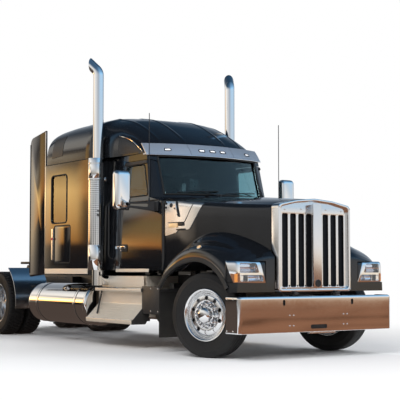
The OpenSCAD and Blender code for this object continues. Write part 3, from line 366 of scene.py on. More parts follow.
# %% Shared surface effects
def feed(tree, target, inputs):
    """Sets the inputs of a node: a socket is linked, anything else is a fixed value."""
    for key, value in inputs.items():
        if isinstance(value, bpy.types.NodeSocket):
            tree.links.new(value, target.inputs[key])
        else:
            target.inputs[key].default_value = value


def node(tree, kind, inputs={}, **settings):
    n = tree.nodes.new(kind)
    for key, value in settings.items():
        setattr(n, key, value)
    feed(tree, n, inputs)
    return n


def math_node(tree, operation, a, b):
    return node(tree, "ShaderNodeMath", {0: a, 1: b}, operation=operation).outputs[0]


def new_group(name, inputs, outputs):
    """A shader group; the kind of an input follows from its default."""
    group = bpy.data.node_groups.new(name, "ShaderNodeTree")
    for label, default in inputs.items():
        kind = {3: "Vector", 4: "Color"}[len(default)] if isinstance(default, tuple) else "Float"
        socket = group.interface.new_socket(label, in_out="INPUT", socket_type="NodeSocket" + kind)
        socket.default_value = default
    for label in outputs:
        kind = "Color" if label == "Colour" else "Float"
        group.interface.new_socket(label, in_out="OUTPUT", socket_type="NodeSocket" + kind)
    return group, node(group, "NodeGroupInput").outputs, node(group, "NodeGroupOutput")


def gloss_group(g, given, gout, centred, height):
    """Ends a group: roughness that strays from its given value, and a height for bumps."""
    stray = math_node(g, "MULTIPLY", centred, given["Spread"])
    feed(g, gout, {"Roughness": math_node(g, "ADD", given["Roughness"], stray), "Height": height})
    return g


def fine_marks_group():
    """Gloss that wanders a little, and a faint unevenness."""
    g, given, gout = new_group("fine marks", {"Scale": 40.0, "Roughness": 0.2, "Spread": 0.1},
                               ("Roughness", "Height"))
    place = node(g, "ShaderNodeTexCoord").outputs["Object"]
    coarse = node(g, "ShaderNodeTexNoise", {"Vector": place, "Detail": 6, "Scale": 2.5}).outputs[0]
    fine = node(g, "ShaderNodeTexNoise", {"Vector": place, "Detail": 3, "Scale": given["Scale"]}).outputs[0]
    return gloss_group(g, given, gout, math_node(g, "SUBTRACT", math_node(g, "ADD", coarse, fine), 1.0), fine)


def brushed_group():
    """Lines drawn one way, from noise that is stretched."""
    g, given, gout = new_group("brushed lines", {"Stretch": (1.0, 1.0, 40.0), "Roughness": 0.3, "Spread": 0.15},
                               ("Roughness", "Height"))
    place = node(g, "ShaderNodeTexCoord").outputs["Object"]
    stretched = node(g, "ShaderNodeMapping", {"Vector": place, "Scale": given["Stretch"]}).outputs[0]
    lines = node(g, "ShaderNodeTexNoise", {"Vector": stretched, "Scale": 8, "Detail": 5}).outputs[0]
    return gloss_group(g, given, gout, math_node(g, "SUBTRACT", lines, 0.5), lines)


def road_dust_group():
    """A colour that turns dusty in patches, more so near the ground."""
    defaults = {"Colour": (0.0, 0.0, 0.0, 1.0), "Dust": (0.2, 0.17, 0.14, 1.0), "Amount": 0.3, "Reach": 1.2}
    g, given, gout = new_group("road dust", defaults, ("Colour", "Mask"))
    place = node(g, "ShaderNodeTexCoord").outputs["Object"]
    height = node(g, "ShaderNodeSeparateXYZ", {0: place}).outputs[2]
    patches = node(g, "ShaderNodeTexNoise", {"Vector": place, "Scale": 7, "Detail": 7}).outputs[0]
    share = math_node(g, "SUBTRACT", 1.25, math_node(g, "DIVIDE", height, given["Reach"]))
    low = math_node(g, "MULTIPLY", patches, math_node(g, "MAXIMUM", share, 0.15))
    mask = math_node(g, "MULTIPLY", low, given["Amount"])
    mix = node(g, "ShaderNodeMix", {"Factor": mask, 6: given["Colour"], 7: given["Dust"]}, data_type="RGBA")
    feed(g, gout, {"Colour": mix.outputs[2], "Mask": mask})
    return g


MARKS, BRUSHED, DUST = fine_marks_group(), brushed_group(), road_dust_group()
print("groups:", MARKS.name, BRUSHED.name, DUST.name)

# %% Finishes
FINISHES = {}


def finish(name, slot, colour, rough, metal=0.0, spread=0.05, scale=40.0, bump=0.0, brush=None, dust=0.0,
           reach=1.2, dust_colour=(0.2, 0.17, 0.14, 1), **sockets):
    """A procedural material: colour, gloss with marks or brushing, dust, and other fixed sockets."""
    m = bpy.data.materials.new(name)
    m.use_nodes = True
    t = m.node_tree
    shader = t.nodes["Principled BSDF"]
    base = (*colour, 1)
    if dust:
        dusty = {"Colour": base, "Dust": dust_colour, "Amount": dust, "Reach": reach}
        base = node(t, "ShaderNodeGroup", dusty, node_tree=DUST).outputs["Colour"]
    gloss = {"Roughness": rough, "Spread": spread, **({"Stretch": brush} if brush else {"Scale": scale})}
    marks = node(t, "ShaderNodeGroup", gloss, node_tree=BRUSHED if brush else MARKS).outputs
    feed(t, shader, {"Metallic": metal, "Base Color": base, "Roughness": marks["Roughness"]})
    feed(t, shader, {label.replace("_", " "): value for label, value in sockets.items()})
    if bump:
        bumps = node(t, "ShaderNodeBump", {"Strength": 0.4, "Distance": bump, "Height": marks["Height"]})
        feed(t, shader, {"Normal": bumps.outputs[0]})
    FINISHES[name] = m
    return m


finish("black_paint", "body_black", (0.006, 0.0065, 0.008), 0.13, spread=0.03, scale=900, bump=0.00002,
       Coat_Weight=1.0, Coat_Roughness=0.03, Specular_IOR_Level=0.05)
finish("chassis_paint", "frame_black", (0.014, 0.0145, 0.016), 0.45, spread=0.2, scale=60, bump=0.0004, dust=0.22)
finish("mirror_chrome", "chrome", (0.86, 0.865, 0.87), 0.05, metal=1.0, spread=0.04, scale=25)
finish("grille_alloy", "chrome", (0.82, 0.825, 0.83), 0.16, metal=1.0, spread=0.1, brush=(60, 60, 1.5), bump=0.00002)
finish("polished_alloy", "bright_aluminium", (0.82, 0.82, 0.82), 0.2, metal=1.0, spread=0.14,
       brush=(1.5, 40, 40), bump=0.00002)
finish("tank_alloy", "bright_aluminium", (0.84, 0.835, 0.83), 0.07, metal=1.0, spread=0.05, brush=(1.5, 40, 40),
       bump=0.00001)
# The tread alloy is grey metal with real dust; its warm cream tint is painted warm light.
finish("tread_alloy", "bright_aluminium", (0.86, 0.76, 0.63), 0.36, metal=0.5, spread=0.2, scale=120, bump=0.0003,
       dust=0.12)
finish("wheel_alloy", "wheel_aluminium", (0.84, 0.845, 0.85), 0.17, metal=1.0, spread=0.08, scale=90)
finish("visor_steel", "visor_steel", (0.6, 0.625, 0.67), 0.36, metal=0.75, spread=0.2, brush=(50, 1.2, 50),
       bump=0.00003)
finish("dark_plastic", "trim_plastic", (0.012, 0.012, 0.013), 0.42, spread=0.15, scale=400, bump=0.0002)
finish("black_rubber", "rubber", (0.012, 0.012, 0.012), 0.62, spread=0.2, scale=250, bump=0.0004, dust=0.15)
finish("tyre_rubber", "tyre", (0.009, 0.009, 0.0095), 0.58, spread=0.25, scale=180, bump=0.0006, dust=0.1, reach=1.6,
       dust_colour=(0.07, 0.06, 0.05, 1), Specular_IOR_Level=0.35)
finish("cast_iron", "engine_grey", (0.1, 0.105, 0.115), 0.55, spread=0.25, scale=120, bump=0.0015, dust=0.3)
finish("greased_iron", "coupling_iron", (0.02, 0.02, 0.021), 0.38, metal=0.5, spread=0.3, scale=30, bump=0.0006,
       dust=0.2)
finish("core_fins", "core_black", (0.008, 0.009, 0.011), 0.5, spread=0.2, brush=(1, 120, 1), bump=0.003,
       Specular_IOR_Level=0.12)
finish("tinted_glass", "glass", (0.34, 0.52, 0.56), 0.02, spread=0.01, Transmission_Weight=1.0, IOR=1.45)
finish("privacy_glass", "glass", (0.1, 0.13, 0.14), 0.02, spread=0.01, Transmission_Weight=1.0, IOR=1.45)
finish("clear_lens", "lamp_clear", (0.93, 0.95, 0.97), 0.03, spread=0.01, Alpha=0.05, IOR=1.4)
finish("lamp_bowl", "lamp_clear", (0.72, 0.78, 0.86), 0.1, metal=1.0, spread=0.1, scale=60)
finish("lamp_glow", "lamp_clear", (0.95, 0.96, 1.0), 0.25, spread=0.05, Emission_Color=(0.93, 0.96, 1.0, 1),
       Emission_Strength=0.35)
finish("pale_lens", "lamp_clear", (0.8, 0.52, 0.27), 0.15, spread=0.05, scale=200, bump=0.0004, Coat_Weight=0.6)
finish("amber_lens", "lamp_clear", (0.66, 0.24, 0.05), 0.12, spread=0.05, scale=200, bump=0.0004, Coat_Weight=0.6)
finish("red_lens", "lamp_red", (0.42, 0.01, 0.012), 0.14, spread=0.05, scale=200, bump=0.0004, Coat_Weight=0.6)
finish("mirror_glass", "chrome", (0.9, 0.92, 0.93), 0.02, metal=1.0, spread=0.01)
finish("cab_trim", "trim_plastic", (0.035, 0.032, 0.029), 0.55, spread=0.15, scale=350, bump=0.0004)
finish("seat_cloth", "trim_fabric", (0.065, 0.052, 0.042), 0.85, spread=0.15, scale=600, bump=0.0012,
       Sheen_Weight=0.4)
print("finishes:", len(FINISHES))


def dress(obj, body, name, *nodes):
    """Gives a piece its finish, its body and the CAD nodes that it stands for."""
    obj.data.materials.clear()
    obj.data.materials.append(FINISHES[name])
    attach(obj, body)
    if nodes:
        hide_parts(*nodes)
    return obj


def pair(name, body, finish_name, parts, *nodes, sharp=35):
    """Dresses the parts of the left side together with their mirror image."""
    return dress(both_of(parts, name, sharp), body, finish_name, *nodes)


def each_side(name, body, finish_name, parts, *nodes, sharp=35):
    """A piece on the left and its mirror image on the right, each on a body of its own side."""
    for side, copied in (("left", copy_of), ("right", twin)):
        obj = join(name + side, [copied(p, "copy") for p in parts], sharp)
        dress(obj, body + side, finish_name, *(n + side for n in nodes))
    drop(*parts)

# %% [markdown]
# ## Bonnet
# The bonnet narrows from the cab to the grille under one long shoulder line. A few sections, each with
# a straight flank, a rounded shoulder and a low crown, are enough: a curve that doesn't overshoot
# fills in the rows between them, so the black paint shows no facets.

# %% Bonnet
NOSE_D = 0.2004  # where the bonnet starts
BONNET = [(NOSE_D, 0.586, 1.886, 1.966, 1.0, 0.06), (0.4, 0.692, 1.896, 1.984, 1.18, 0.07),
          (0.7, 0.822, 1.916, 2.008, 1.19, 0.075), (1.0, 0.918, 1.942, 2.032, 1.19, 0.075),
          (1.3, 0.985, 1.966, 2.054, 1.19, 0.07), (1.6, 1.022, 1.988, 2.074, 1.06, 0.06),
          (1.885, 1.038, 2.0, 2.084, 1.075, 0.05)]
BONNET_FINE = smooth_rows(BONNET, 8)


def bonnet_section(row):
    d, w, shoulder, crown, low, r = row
    half = [(w, low + (shoulder - r - low) * k / 6) for k in range(6)]
    half += [(w - r + r * cos(a), shoulder - r + r * sin(a))
             for a in (radians(84 * k / 9) for k in range(10))]
    half += [((w - r * 0.9) * (1 - k / 12), shoulder + (crown - shoulder) * (1 - (1 - k / 12) ** 2))
             for k in range(1, 13)]
    return [(x_of(d), y, z) for y, z in half] + [(x_of(d), -y, z) for y, z in half[-2::-1]]


def bonnet_at(d, column):
    """A column of the bonnet's table at a distance back."""
    return float(np.interp(d, *np.array(BONNET_FINE)[:, [0, column]].T))


bonnet = thicken(skin("bonnet_skin", [bonnet_section(r) for r in BONNET_FINE], sharp=50), 0.02)
dress(bonnet, "bonnet_unit", "black_paint", "bonnet")
print("bonnet rows:", len(BONNET_FINE))

# %% [markdown]
# ## Wings
# Each wing is a pontoon that rises over its wheel and falls to the running board. Its sections are
# superellipses between the bonnet's flank and the outer face. The lower edge follows the wheel arch,
# which is two quarter ellipses, longer behind the wheel than ahead of it. An inner tier swells beside
# the bonnet and fades out towards the arch.

# %% Wings with their arches
AXLE_Z, STEER_D = 0.526, 0.906
ARCH_RISE, ARCH_AHEAD, ARCH_BEHIND = 0.655, 0.75, 0.93
WING_Y, WING_LOW = 1.235, 0.815
WING = [(0.11, 1.215, 0.065), (0.15, 1.24, 0.042), (NOSE_D, 1.272, 0.015), (0.29, 1.32, 0.0),
        (0.4, 1.36, 0.0), (0.55, 1.4, 0.0), (0.7, 1.424, 0.0), (0.85, 1.434, 0.0), (1.0, 1.43, 0.0),
        (1.15, 1.402, 0.0), (1.3, 1.348, 0.0), (1.45, 1.272, 0.002), (1.6, 1.172, 0.008),
        (1.7, 1.088, 0.016), (1.76, 1.025, 0.022)]
CROWN_RISE, CROWN_SHARE = 0.128, 0.66


def arch_z(d):
    u = (d - STEER_D) / (ARCH_AHEAD if d < STEER_D else ARCH_BEHIND)
    return max(WING_LOW, AXLE_Z + ARCH_RISE * sqrt(max(0, 1 - u * u)))


def crown_z(d, across):
    """Extra height of the inner tier, which swells beside the bonnet and fades towards the arch."""
    fade = min(1.0, across / CROWN_SHARE)
    hump = sin(pi * min(1.0, (d + 0.12) / 1.9) ** 1.2)
    return CROWN_RISE * hump * (1 - fade * fade * (3 - 2 * fade))


def wing_section(row, lift=1.0, back=0.0, steps=36):
    d, top, tuck = row
    y0 = max(0.602, bonnet_at(max(d, NOSE_D), 1) - 0.012)
    y1, z0 = WING_Y - tuck, arch_z(d)
    power = 2 / 3.2
    points = []
    for k in range(steps + 1):
        t = pi / 2 * k / steps
        across, rise = sin(t) ** power, max(0.0, cos(t)) ** power
        points.append((x_of(d + back), y0 + (y1 - y0) * across * (0.94 + 0.06 * lift),
                       z0 + ((top - z0) * rise + crown_z(d, across)) * lift))
    return points


def wing_skin():
    rows = [wing_section(WING[0], 0.0, -0.004), wing_section(WING[0], 0.9, -0.004),
            wing_section(WING[0], 0.97, -0.001)]
    rows += [wing_section(r) for r in smooth_rows(WING, 6)[1:]]
    return thicken(skin("wing", rows, sharp=48), 0.012)


def open_room(obj):
    """Takes away what the cut leaves of the inner skin, so that the lamp is seen."""
    with editing(obj) as bm:
        places = {f: f.calc_center_median() for f in bm.faces}
        bmesh.ops.delete(bm, context="FACES", geom=[
            f for f, c in places.items()
            if x_of(0.2) < c.x < x_of(0.11) and 0.74 < c.y < 1.22 and 0.93 < c.z < 1.18])
    return obj


def plan_solid(name, corners, z0, z1):
    """A solid from corners of (distance back, y, radius)."""
    return plate(name, [rounded(corners)], z1 - z0,
                 frame_of((-1, 0, 0), (0, 1, 0), (0, 0, -1), (FRONT, 0, (z0 + z1) / 2)))


LAMP_ROOM = [(0.05, 0.737, 0), (0.26, 0.737, 0), (0.26, 1.28, 0), (0.05, 1.28, 0)]
lamp_room = plan_solid("lamp_room", LAMP_ROOM, 0.926, 1.188)
wing_left = open_room(cut(wing_skin(), [lamp_room], sharp=48))
pair("wings_skin", "bonnet_unit", "black_paint", [wing_left], "wings", sharp=48)

LIP = [(0.002, -0.03), (0.001, 0.004), (0.006, 0.011), (0.02, 0.013), (0.044, 0.01), (0.058, 0.004), (0.06, -0.004)]


def lip_row(s, out):
    """A line round the arch, s outside it and proud of the wing by out."""
    row = []
    for k in range(61):
        t = pi * (0.16 + 0.68 * k / 60)
        a = (ARCH_AHEAD if cos(t) > 0 else ARCH_BEHIND) + s
        row.append((x_of(STEER_D - a * cos(t)), WING_Y + out, AXLE_Z + (ARCH_RISE + s) * sin(t)))
    return row


arch_lip = skin("lip", [lip_row(s, out) for s, out in LIP], sharp=60)
pair("arch_lips_trim", "bonnet_unit", "black_rubber", [arch_lip], "arch_lips")
print("wings and arch lips made")

# %% [markdown]
# ## Cab, doors and windscreen
# In plan the cab is square at the belt and swept back at the windscreen. One function gives a ring of
# points at any height; outer and inner rings make a closed shell, from which the door openings and the
# screen are cut. A door is the part of the same shell inside its own outline, so both skins stay flush.

# %% Cab shell and doors
BELT_Z, CAB_FLOOR = 2.075, 1.0054
CAB_LEVELS = [(1.075, 1.905, 0.07, 9.0, 1.04), (2.0, 1.905, 0.07, 9.0, 1.04),
              (BELT_Z, 1.985, 0.38, 2.2, 1.0), (2.7, 2.29, 0.21, 2.2, 0.96)]
CAB_BACK, CAB_WALL = 3.555, 0.05
RING_STEPS = 44


def cab_ring(level, s, z):
    zz, front, sweep, power, w = level
    w -= s
    ring = []
    for k in range(RING_STEPS + 1):
        y = w * sin(pi / 2 * (2 * k / RING_STEPS - 1))
        ring.append((x_of(front + s + sweep * (abs(y) / w) ** power), y, z))
    return ring + [(x_of(CAB_BACK - s), w, z), (x_of(CAB_BACK - s), -w, z)]


def cab_walls(name, s0=0.0, s1=CAB_WALL, floor=0.04):
    outer = [cab_ring(lv, s0, lv[0]) for lv in CAB_LEVELS]
    inner = [cab_ring(lv, s1, lv[0] + (floor if i == 0 else 0)) for i, lv in enumerate(CAB_LEVELS)]
    return skin(name, outer + inner[::-1], loop=True, caps=True, sharp=40)


def door_outline(g):
    return rounded([(1.995 - g, 1.115 - g, 0.06), (1.995 - g, 2.04, 0.1), (2.44 - g, 2.6 + g, 0.06),
                    (3.08 + 1.6 * g, 2.6 + g, 0.06), (3.08 + 1.6 * g, 1.115 - g, 0.06)])


def door_window(g):
    return rounded([(2.4 + g, 2.105 + g, 0.04), (2.54 + g, 2.54 - g, 0.06), (3.01 - g, 2.54 - g, 0.05),
                    (3.01 - g, 2.105 + g, 0.05)])


def prism(name, loop, y0, y1):
    return plate(name, [loop], y1 - y0, side_face((y0 + y1) / 2))


SCREEN_Y, SCREEN_LOW, SCREEN_HIGH = 0.83, 2.115, 2.655
cab = cab_walls("cab_skin")
openings = [prism("door_hole", door_outline(0.007), 0.84, 1.1), prism("door_hole", door_outline(0.007), -1.1, -0.84),
            slab("screen_hole", (x_of(2.6), -SCREEN_Y, SCREEN_LOW), (x_of(1.88), SCREEN_Y, SCREEN_HIGH), 0.001, 1),
            slab("walk_hole", (x_of(3.58), -0.42, 1.175), (x_of(3.45), 0.42, 2.5), 0.001, 1)]
cut(cab, openings, sharp=40)
feet = [block("cab_foot", d - 0.06, d + 0.06, s * 0.385 - 0.04, s * 0.385 + 0.04, CAB_FLOOR, 1.08)
        for d in (2.15, 3.25) for s in (1, -1)]
cab = join("cab_skin_whole", [cab] + feet, 40)
dress(cab, "chassis", "black_paint", "cab_shell")


def door_skin():
    door = cab_walls("door")
    cut(door, [prism("door_shape", door_outline(0.0), 0.84, 1.1)], keep=True, sharp=40)
    return cut(door, [prism("window_hole", door_window(0.0), 0.79, 1.13)], sharp=40)


door_left = door_skin()
door_right = twin(door_left, "door_right_skin")
door_left.name = "door_left_skin"
for obj, side in ((door_left, "left"), (door_right, "right")):
    dress(obj, "door_unit_" + side, "black_paint", "door_" + side)
print("cab and doors cut, openings:", len(openings))

# %% [markdown]
# The panes follow the cab's own rings a little below the skin, so that the seal stands proud of them.

# %% Panes and their seals
def screen_point(y, z, s):
    """A place on the windscreen, s behind the cab's skin."""
    low, high = CAB_LEVELS[2:]
    front, back = (lv[1] + s + lv[2] * min(1, abs(y) / (lv[4] - s)) ** lv[3] for lv in (low, high))
    return (x_of(front + (back - front) * (z - low[0]) / (high[0] - low[0])), y, z)


def screen_sheet(name, s, wall, y_edge, z0, z1):
    rows = [[screen_point(y_edge * (2 * k / 40 - 1), z0 + (z1 - z0) * i / 10, s) for k in range(41)]
            for i in range(11)]
    return thicken(skin(name, rows), wall)


screen = screen_sheet("windscreen", 0.016, 0.006, SCREEN_Y - 0.001, SCREEN_LOW + 0.001, SCREEN_HIGH - 0.001)
lean = atan2(0.04, 0.625)


def door_pane(y_in, wall, grow):
    pane = plate("pane", [[(d, (z - BELT_Z) / cos(lean)) for d, z in door_window(grow)]], wall,
                 frame_of((-1, 0, 0), (0, 0, 1), (0, 1, 0), (FRONT, -wall / 2, 0)))
    pane.data.transform(Matrix.Translation((0, 1.0 - y_in, BELT_Z)) @ Matrix.Rotation(lean, 4, "X"))
    return pane


each_side("door_pane_", "door_unit_", "tinted_glass", [door_pane(0.016, 0.006, 0.001)], "door_glass_")


def sleeper_window(g):
    return oblong(4.42 + g, 4.92 - g, 1.8 + g, 2.52 - g, 0.06)


screen.name = "windscreen_pane"
dress(screen, "chassis", "tinted_glass", "body_glass")
pair("sleeper_panes", "chassis", "privacy_glass",
     [plate("sleeper_pane", [sleeper_window(0.001)], 0.006, side_face(1.184))])


def seal_ring(name, loop, y, r=0.011):
    """A rubber seal round an opening in a flat side."""
    path = [(x_of(d), y, z) for d, z in loop]
    return tube(name, path + path[:2], r, 10)


pair("sleeper_seals", "chassis", "black_rubber", [seal_ring("sleeper_seal", sleeper_window(-0.006), 1.2)])

across = [SCREEN_Y * (2 * k / 40 - 1) for k in range(41)]
upward = [SCREEN_LOW + (SCREEN_HIGH - SCREEN_LOW) * k / 10 for k in range(11)]
screen_loop = [(y, SCREEN_LOW) for y in across] + [(SCREEN_Y, z) for z in upward[1:]]
screen_loop += [(y, SCREEN_HIGH) for y in across[-2::-1]] + [(-SCREEN_Y, z) for z in upward[-2::-1]]
screen_seal = tube("screen_seal", [screen_point(y, z, -0.002) for y, z in screen_loop], 0.013, 10)
dress(screen_seal, "chassis", "black_rubber")
print("panes and seals made")

# %% [markdown]
# ## Sleeper
# The sleeper is a plain tall box whose front corners are cut off at the cab. Its walls are cut out of
# a solid, then the windows, the lockers and the walk-through are cut out of the walls.

# %% Sleeper shell, lockers and side extenders
SEAM_Z = 2.7


def locker_outline(g):
    return oblong(4.3 - g, 4.82 + g, 1.19 - g, 1.75 + g, 0.04)


sleeper = plan_solid("sleeper_skin", [(3.56, 1.04, 0.02), (3.56, -1.04, 0.02), (3.72, -1.2, 0.06),
                                      (5.15, -1.2, 0.012), (5.15, 1.2, 0.012), (3.72, 1.2, 0.06)], CAB_FLOOR, SEAM_Z)
hollow = plan_solid("sleeper_room", [(3.605, 1.0214, 0.01), (3.605, -1.0214, 0.01), (3.7386, -1.155, 0.02),
                                     (5.105, -1.155, 0.01), (5.105, 1.155, 0.01), (3.7386, 1.155, 0.02)], 1.0554, 2.8)
holes = [hollow, slab("walk_hole", (x_of(3.66), -0.42, 1.175), (x_of(3.5), 0.42, 2.5), 0.001, 1)]
for s in (1, -1):
    y0, y1 = sorted((s * 1.1, s * 1.25))
    holes += [prism("locker_hole", locker_outline(0.007), y0, y1), prism("bed_hole", sleeper_window(0.0), y0, y1)]
cut(sleeper, holes, sharp=40)
dress(sleeper, "chassis", "black_paint", "sleeper_shell")

locker_left = plate("locker_left_skin", [locker_outline(0.0)], 0.045, side_face(1.1775), 0.004)
locker_right = twin(locker_left, "locker_right_skin")
locker_seal = seal_ring("locker_seal", locker_outline(0.004), 1.198, 0.008)
for obj, side in ((locker_left, "left"), (locker_right, "right")):
    dress(obj, "locker_" + side, "black_paint", "locker_door_" + side)
pair("locker_seals", "chassis", "black_rubber", [locker_seal])

EXTENDER = [(5.1504, 1.01, 0), (5.7204, 0.97, 0.04), (5.7204, 3.18, 0.12), (5.1504, 3.27, 0.02)]
extender = plate("extender", [rounded(EXTENDER)], 0.02, side_face(1.176), 0.004)
pair("extender_panels", "chassis", "black_paint", [extender], "side_extenders")
edge = tube("extender_edge", [(x_of(5.716), 1.176, 1.03 + 2.06 * k / 20) for k in range(21)], 0.016, 12)
rib = plate("extender_trim", [[(5.158, 1.02), (5.176, 1.02), (5.176, 3.24), (5.158, 3.24)]], 0.006, side_face(1.189),
            0.002)
pair("extender_edges", "chassis", "black_rubber", [edge])
pair("extender_trims", "chassis", "mirror_chrome", [rib])
print("sleeper holes:", len(holes))

# %% [markdown]
# ## Roof
# One moulding runs from the visor over the cab and the sleeper. Its sections are superellipses that
# grow in height; low ribs run along it, raised out of the same skin where a section passes them.

# %% Roof moulding
ROOF = [(2.296, 0.205, 0.958, 0.015), (2.4, 0.225, 0.965, 0.21), (2.56, 0.15, 0.972, 0.38),
        (2.78, 0.09, 0.98, 0.57), (3.04, 0.04, 0.995, 0.76), (3.3, 0.01, 1.035, 0.9),
        (3.56, 0.0, 1.1, 0.97), (3.72, 0.0, 1.198, 1.0), (4.5, 0.0, 1.198, 1.0), (4.95, 0.0, 1.198, 0.97),
        (5.09, 0.0, 1.196, 0.94), (5.15, 0.0, 1.17, 0.9)]
ROOF_HIGH, ROOF_SQUARE = 0.65, 3.4
ROOF_FINE = smooth_rows(ROOF, 6)
ROOF_RIBS = (0.34, 0.7)
outer_u = [cos(radians(50 * k / 18)) ** (2 / ROOF_SQUARE) for k in range(18)]
inner_u = list(np.linspace(cos(radians(50)) ** (2 / ROOF_SQUARE), 0, 72))
ROOF_U = outer_u + inner_u
ROOF_U = ROOF_U + [-u for u in ROOF_U[-2::-1]]


def roof_point(row, u):
    d, sweep, w, rise = row
    z = ROOF_HIGH * rise * max(0.0, 1 - abs(u) ** ROOF_SQUARE) ** (1 / ROOF_SQUARE)
    ramp = min(1, max(0, (d - 2.35) / 0.25)) * min(1, max(0, (5.1 - d) / 0.2))
    rib = sum(exp(-((abs(u) * w - y) / 0.016) ** 2) for y in ROOF_RIBS)
    return (x_of(d + sweep * u * u), u * w, SEAM_Z + 0.0004 + z + 0.01 * rib * ramp)


roof_rows = [[roof_point(r, u) for u in ROOF_U] for r in ROOF_FINE]
shut = [(x_of(5.15), p[1], SEAM_Z + 0.0004) for p in roof_rows[-1]]
roof = thicken(skin("roof_skin", roof_rows + [shut], sharp=50), 0.012)
dress(roof, "chassis", "black_paint", "roof_cap")


def roof_side(d, z, out=0.004):
    """The roof's left side at a distance back and a height, a little proud of the skin."""
    rows = np.array(ROOF_FINE)
    w, rise = (float(np.interp(d, rows[:, 0] + rows[:, 1], rows[:, k])) for k in (2, 3))
    share = min(0.999, max(0.0, (z - SEAM_Z) / (ROOF_HIGH * rise)))
    return (x_of(d), w * (1 - share ** ROOF_SQUARE) ** (1 / ROOF_SQUARE) + out, z)


def roof_patch(name, bottom, top, out=0.004, steps=14):
    """A patch on the roof's side between a lower and an upper line of (distance, height)."""
    rows = []
    for i in range(steps + 1):
        t = i / steps
        rows.append([roof_side(a[0] + (b[0] - a[0]) * t, a[1] + (b[1] - a[1]) * t, out) for a, b in zip(bottom, top)])
    return thicken(skin(name, rows), 0.003)


def line(p, q, n=16, bow=0.0):
    return [(p[0] + (q[0] - p[0]) * k / n, p[1] + (q[1] - p[1]) * k / n + bow * sin(pi * k / n))
            for k in range(n + 1)]


upper_pane = roof_patch("upper_pane", line((2.62, 2.725), (3.2, 2.725)), line((2.66, 2.745), (3.2, 2.985), 16, 0.035))
vent = roof_patch("vent", line((4.57, 2.815), (4.92, 2.795)), line((4.57, 3.125), (4.92, 3.105)))
pair("roof_panes", "chassis", "dark_plastic", [upper_pane, vent])
brow_path = [roof_side(d, z, 0.006) for d, z in line((2.6, 2.728), (3.21, 3.0), 24, 0.04)]
brow = tube("upper_brow", brow_path, 0.009, 10)
pair("roof_brows", "chassis", "mirror_chrome", [brow])
print("roof rows:", len(ROOF_FINE), "points across:", len(ROOF_U))

# %% [markdown]
# ## Sun visor
# A brushed blade in three lengths wraps the head of the windscreen. A soft crown across it catches the
# light; the joints are thin dark gaps, and five small lamps sit in it, one, three and one.

# %% Visor and its lamps
VISOR_D, VISOR_SWEEP, VISOR_Y = 2.248, 0.235, 0.985
VISOR_SHAPE = [(0.004, 2.674), (-0.012, 2.668), (-0.014, 2.676), (0.018, 2.722), (0.06, 2.776), (0.098, 2.818),
               (0.122, 2.842), (0.13, 2.836), (0.07, 2.766)]


def visor_ring(y):
    back = VISOR_SWEEP * (y / VISOR_Y) ** 2
    return [(x_of(VISOR_D + back + d), y, z) for d, z in VISOR_SHAPE]


blades = []
for y0, y1 in ((-VISOR_Y, -0.368), (-0.362, 0.362), (0.368, VISOR_Y)):
    rings = [visor_ring(y0 + (y1 - y0) * k / 28) for k in range(29)]
    blades.append(skin("visor_blade", rings, loop=True, caps=True, sharp=40))
foot = block("visor_foot", 2.463, 2.563, 0.9622, 0.983, 2.674, 2.694, 0.003)
visor = join("visor_blades", blades + [foot, twin(foot, "visor_foot_right")], 40)
dress(visor, "chassis", "visor_steel", "sun_visor")
edge = [(x_of(VISOR_D + VISOR_SWEEP * t * t - 0.011), VISOR_Y * t, 2.671) for t in (k / 30 - 1 for k in range(61))]
dress(tube("visor_lip", edge, 0.009, 12), "chassis", "mirror_chrome")


def on_visor(y, up):
    """Place on the visor's face, with X across, Y up the slope and Z outwards."""
    back = VISOR_SWEEP * (y / VISOR_Y) ** 2
    d, z = VISOR_D + back - 0.014 + 0.112 * up, 2.676 + 0.142 * up
    across = Vector((-2 * VISOR_SWEEP * y / VISOR_Y ** 2, 1, 0)).normalized()
    slope = Vector((-0.112, 0, 0.142)).normalized()
    out = across.cross(slope).normalized()
    return frame_of(across, out.cross(across), out, (x_of(d), y, z))


bezels, lenses = [], []
for y in (-0.68, -0.18, 0.0, 0.18, 0.68):
    at = on_visor(y, 0.5)
    ring = oblong(-0.05, 0.05, -0.024, 0.024, 0.008)
    inner = oblong(-0.039, 0.039, -0.014, 0.014, 0.005)
    bezels.append(plate("visor_bezel", [ring, inner], 0.014, at @ Matrix.Translation((0, 0, 0.004)), 0.003))
    lenses.append(plate("visor_lens", [inner], 0.008, at @ Matrix.Translation((0, 0, 0.003)), 0.002))
dress(join("visor_bezels", bezels), "chassis", "dark_plastic")
dress(join("visor_lenses", lenses), "chassis", "lamp_glow")
print("visor lamps:", len(lenses))

# %% [markdown]
# ## Grille
# A deep bright frame stands round a recessed plate with tall slots, four on each side of a wide centre
# bar. The frame is one outline drawn inwards in steps, which gives its rounded rim; the plate is a
# filled curve with the slots as holes. The badge place at the head of the bar stays bare.

# %% Grille
GRILLE_Y, FACE_D, CORE_D = 0.58, 0.094, 0.13


def grille_rim(s):
    return rounded([(-GRILLE_Y + s, 0.815 + s, 0.04), (GRILLE_Y - s, 0.815 + s, 0.04),
                    (GRILLE_Y - s, 1.886 - s, 0.06), (0.29, 1.942 - s, 0.4), (0.0, 1.966 - s, 0.3),
                    (-0.29, 1.942 - s, 0.4),
                    (-GRILLE_Y + s, 1.886 - s, 0.06)])


def grille_slots():
    slots = []
    for s in (1, -1):
        for k in range(4):
            y0 = 0.023 + k * 0.128
            a, b = sorted((s * y0, s * (y0 + 0.089)))
            slots.append(oblong(a, b, 0.875, 1.772, 0.02, 5))
    return slots


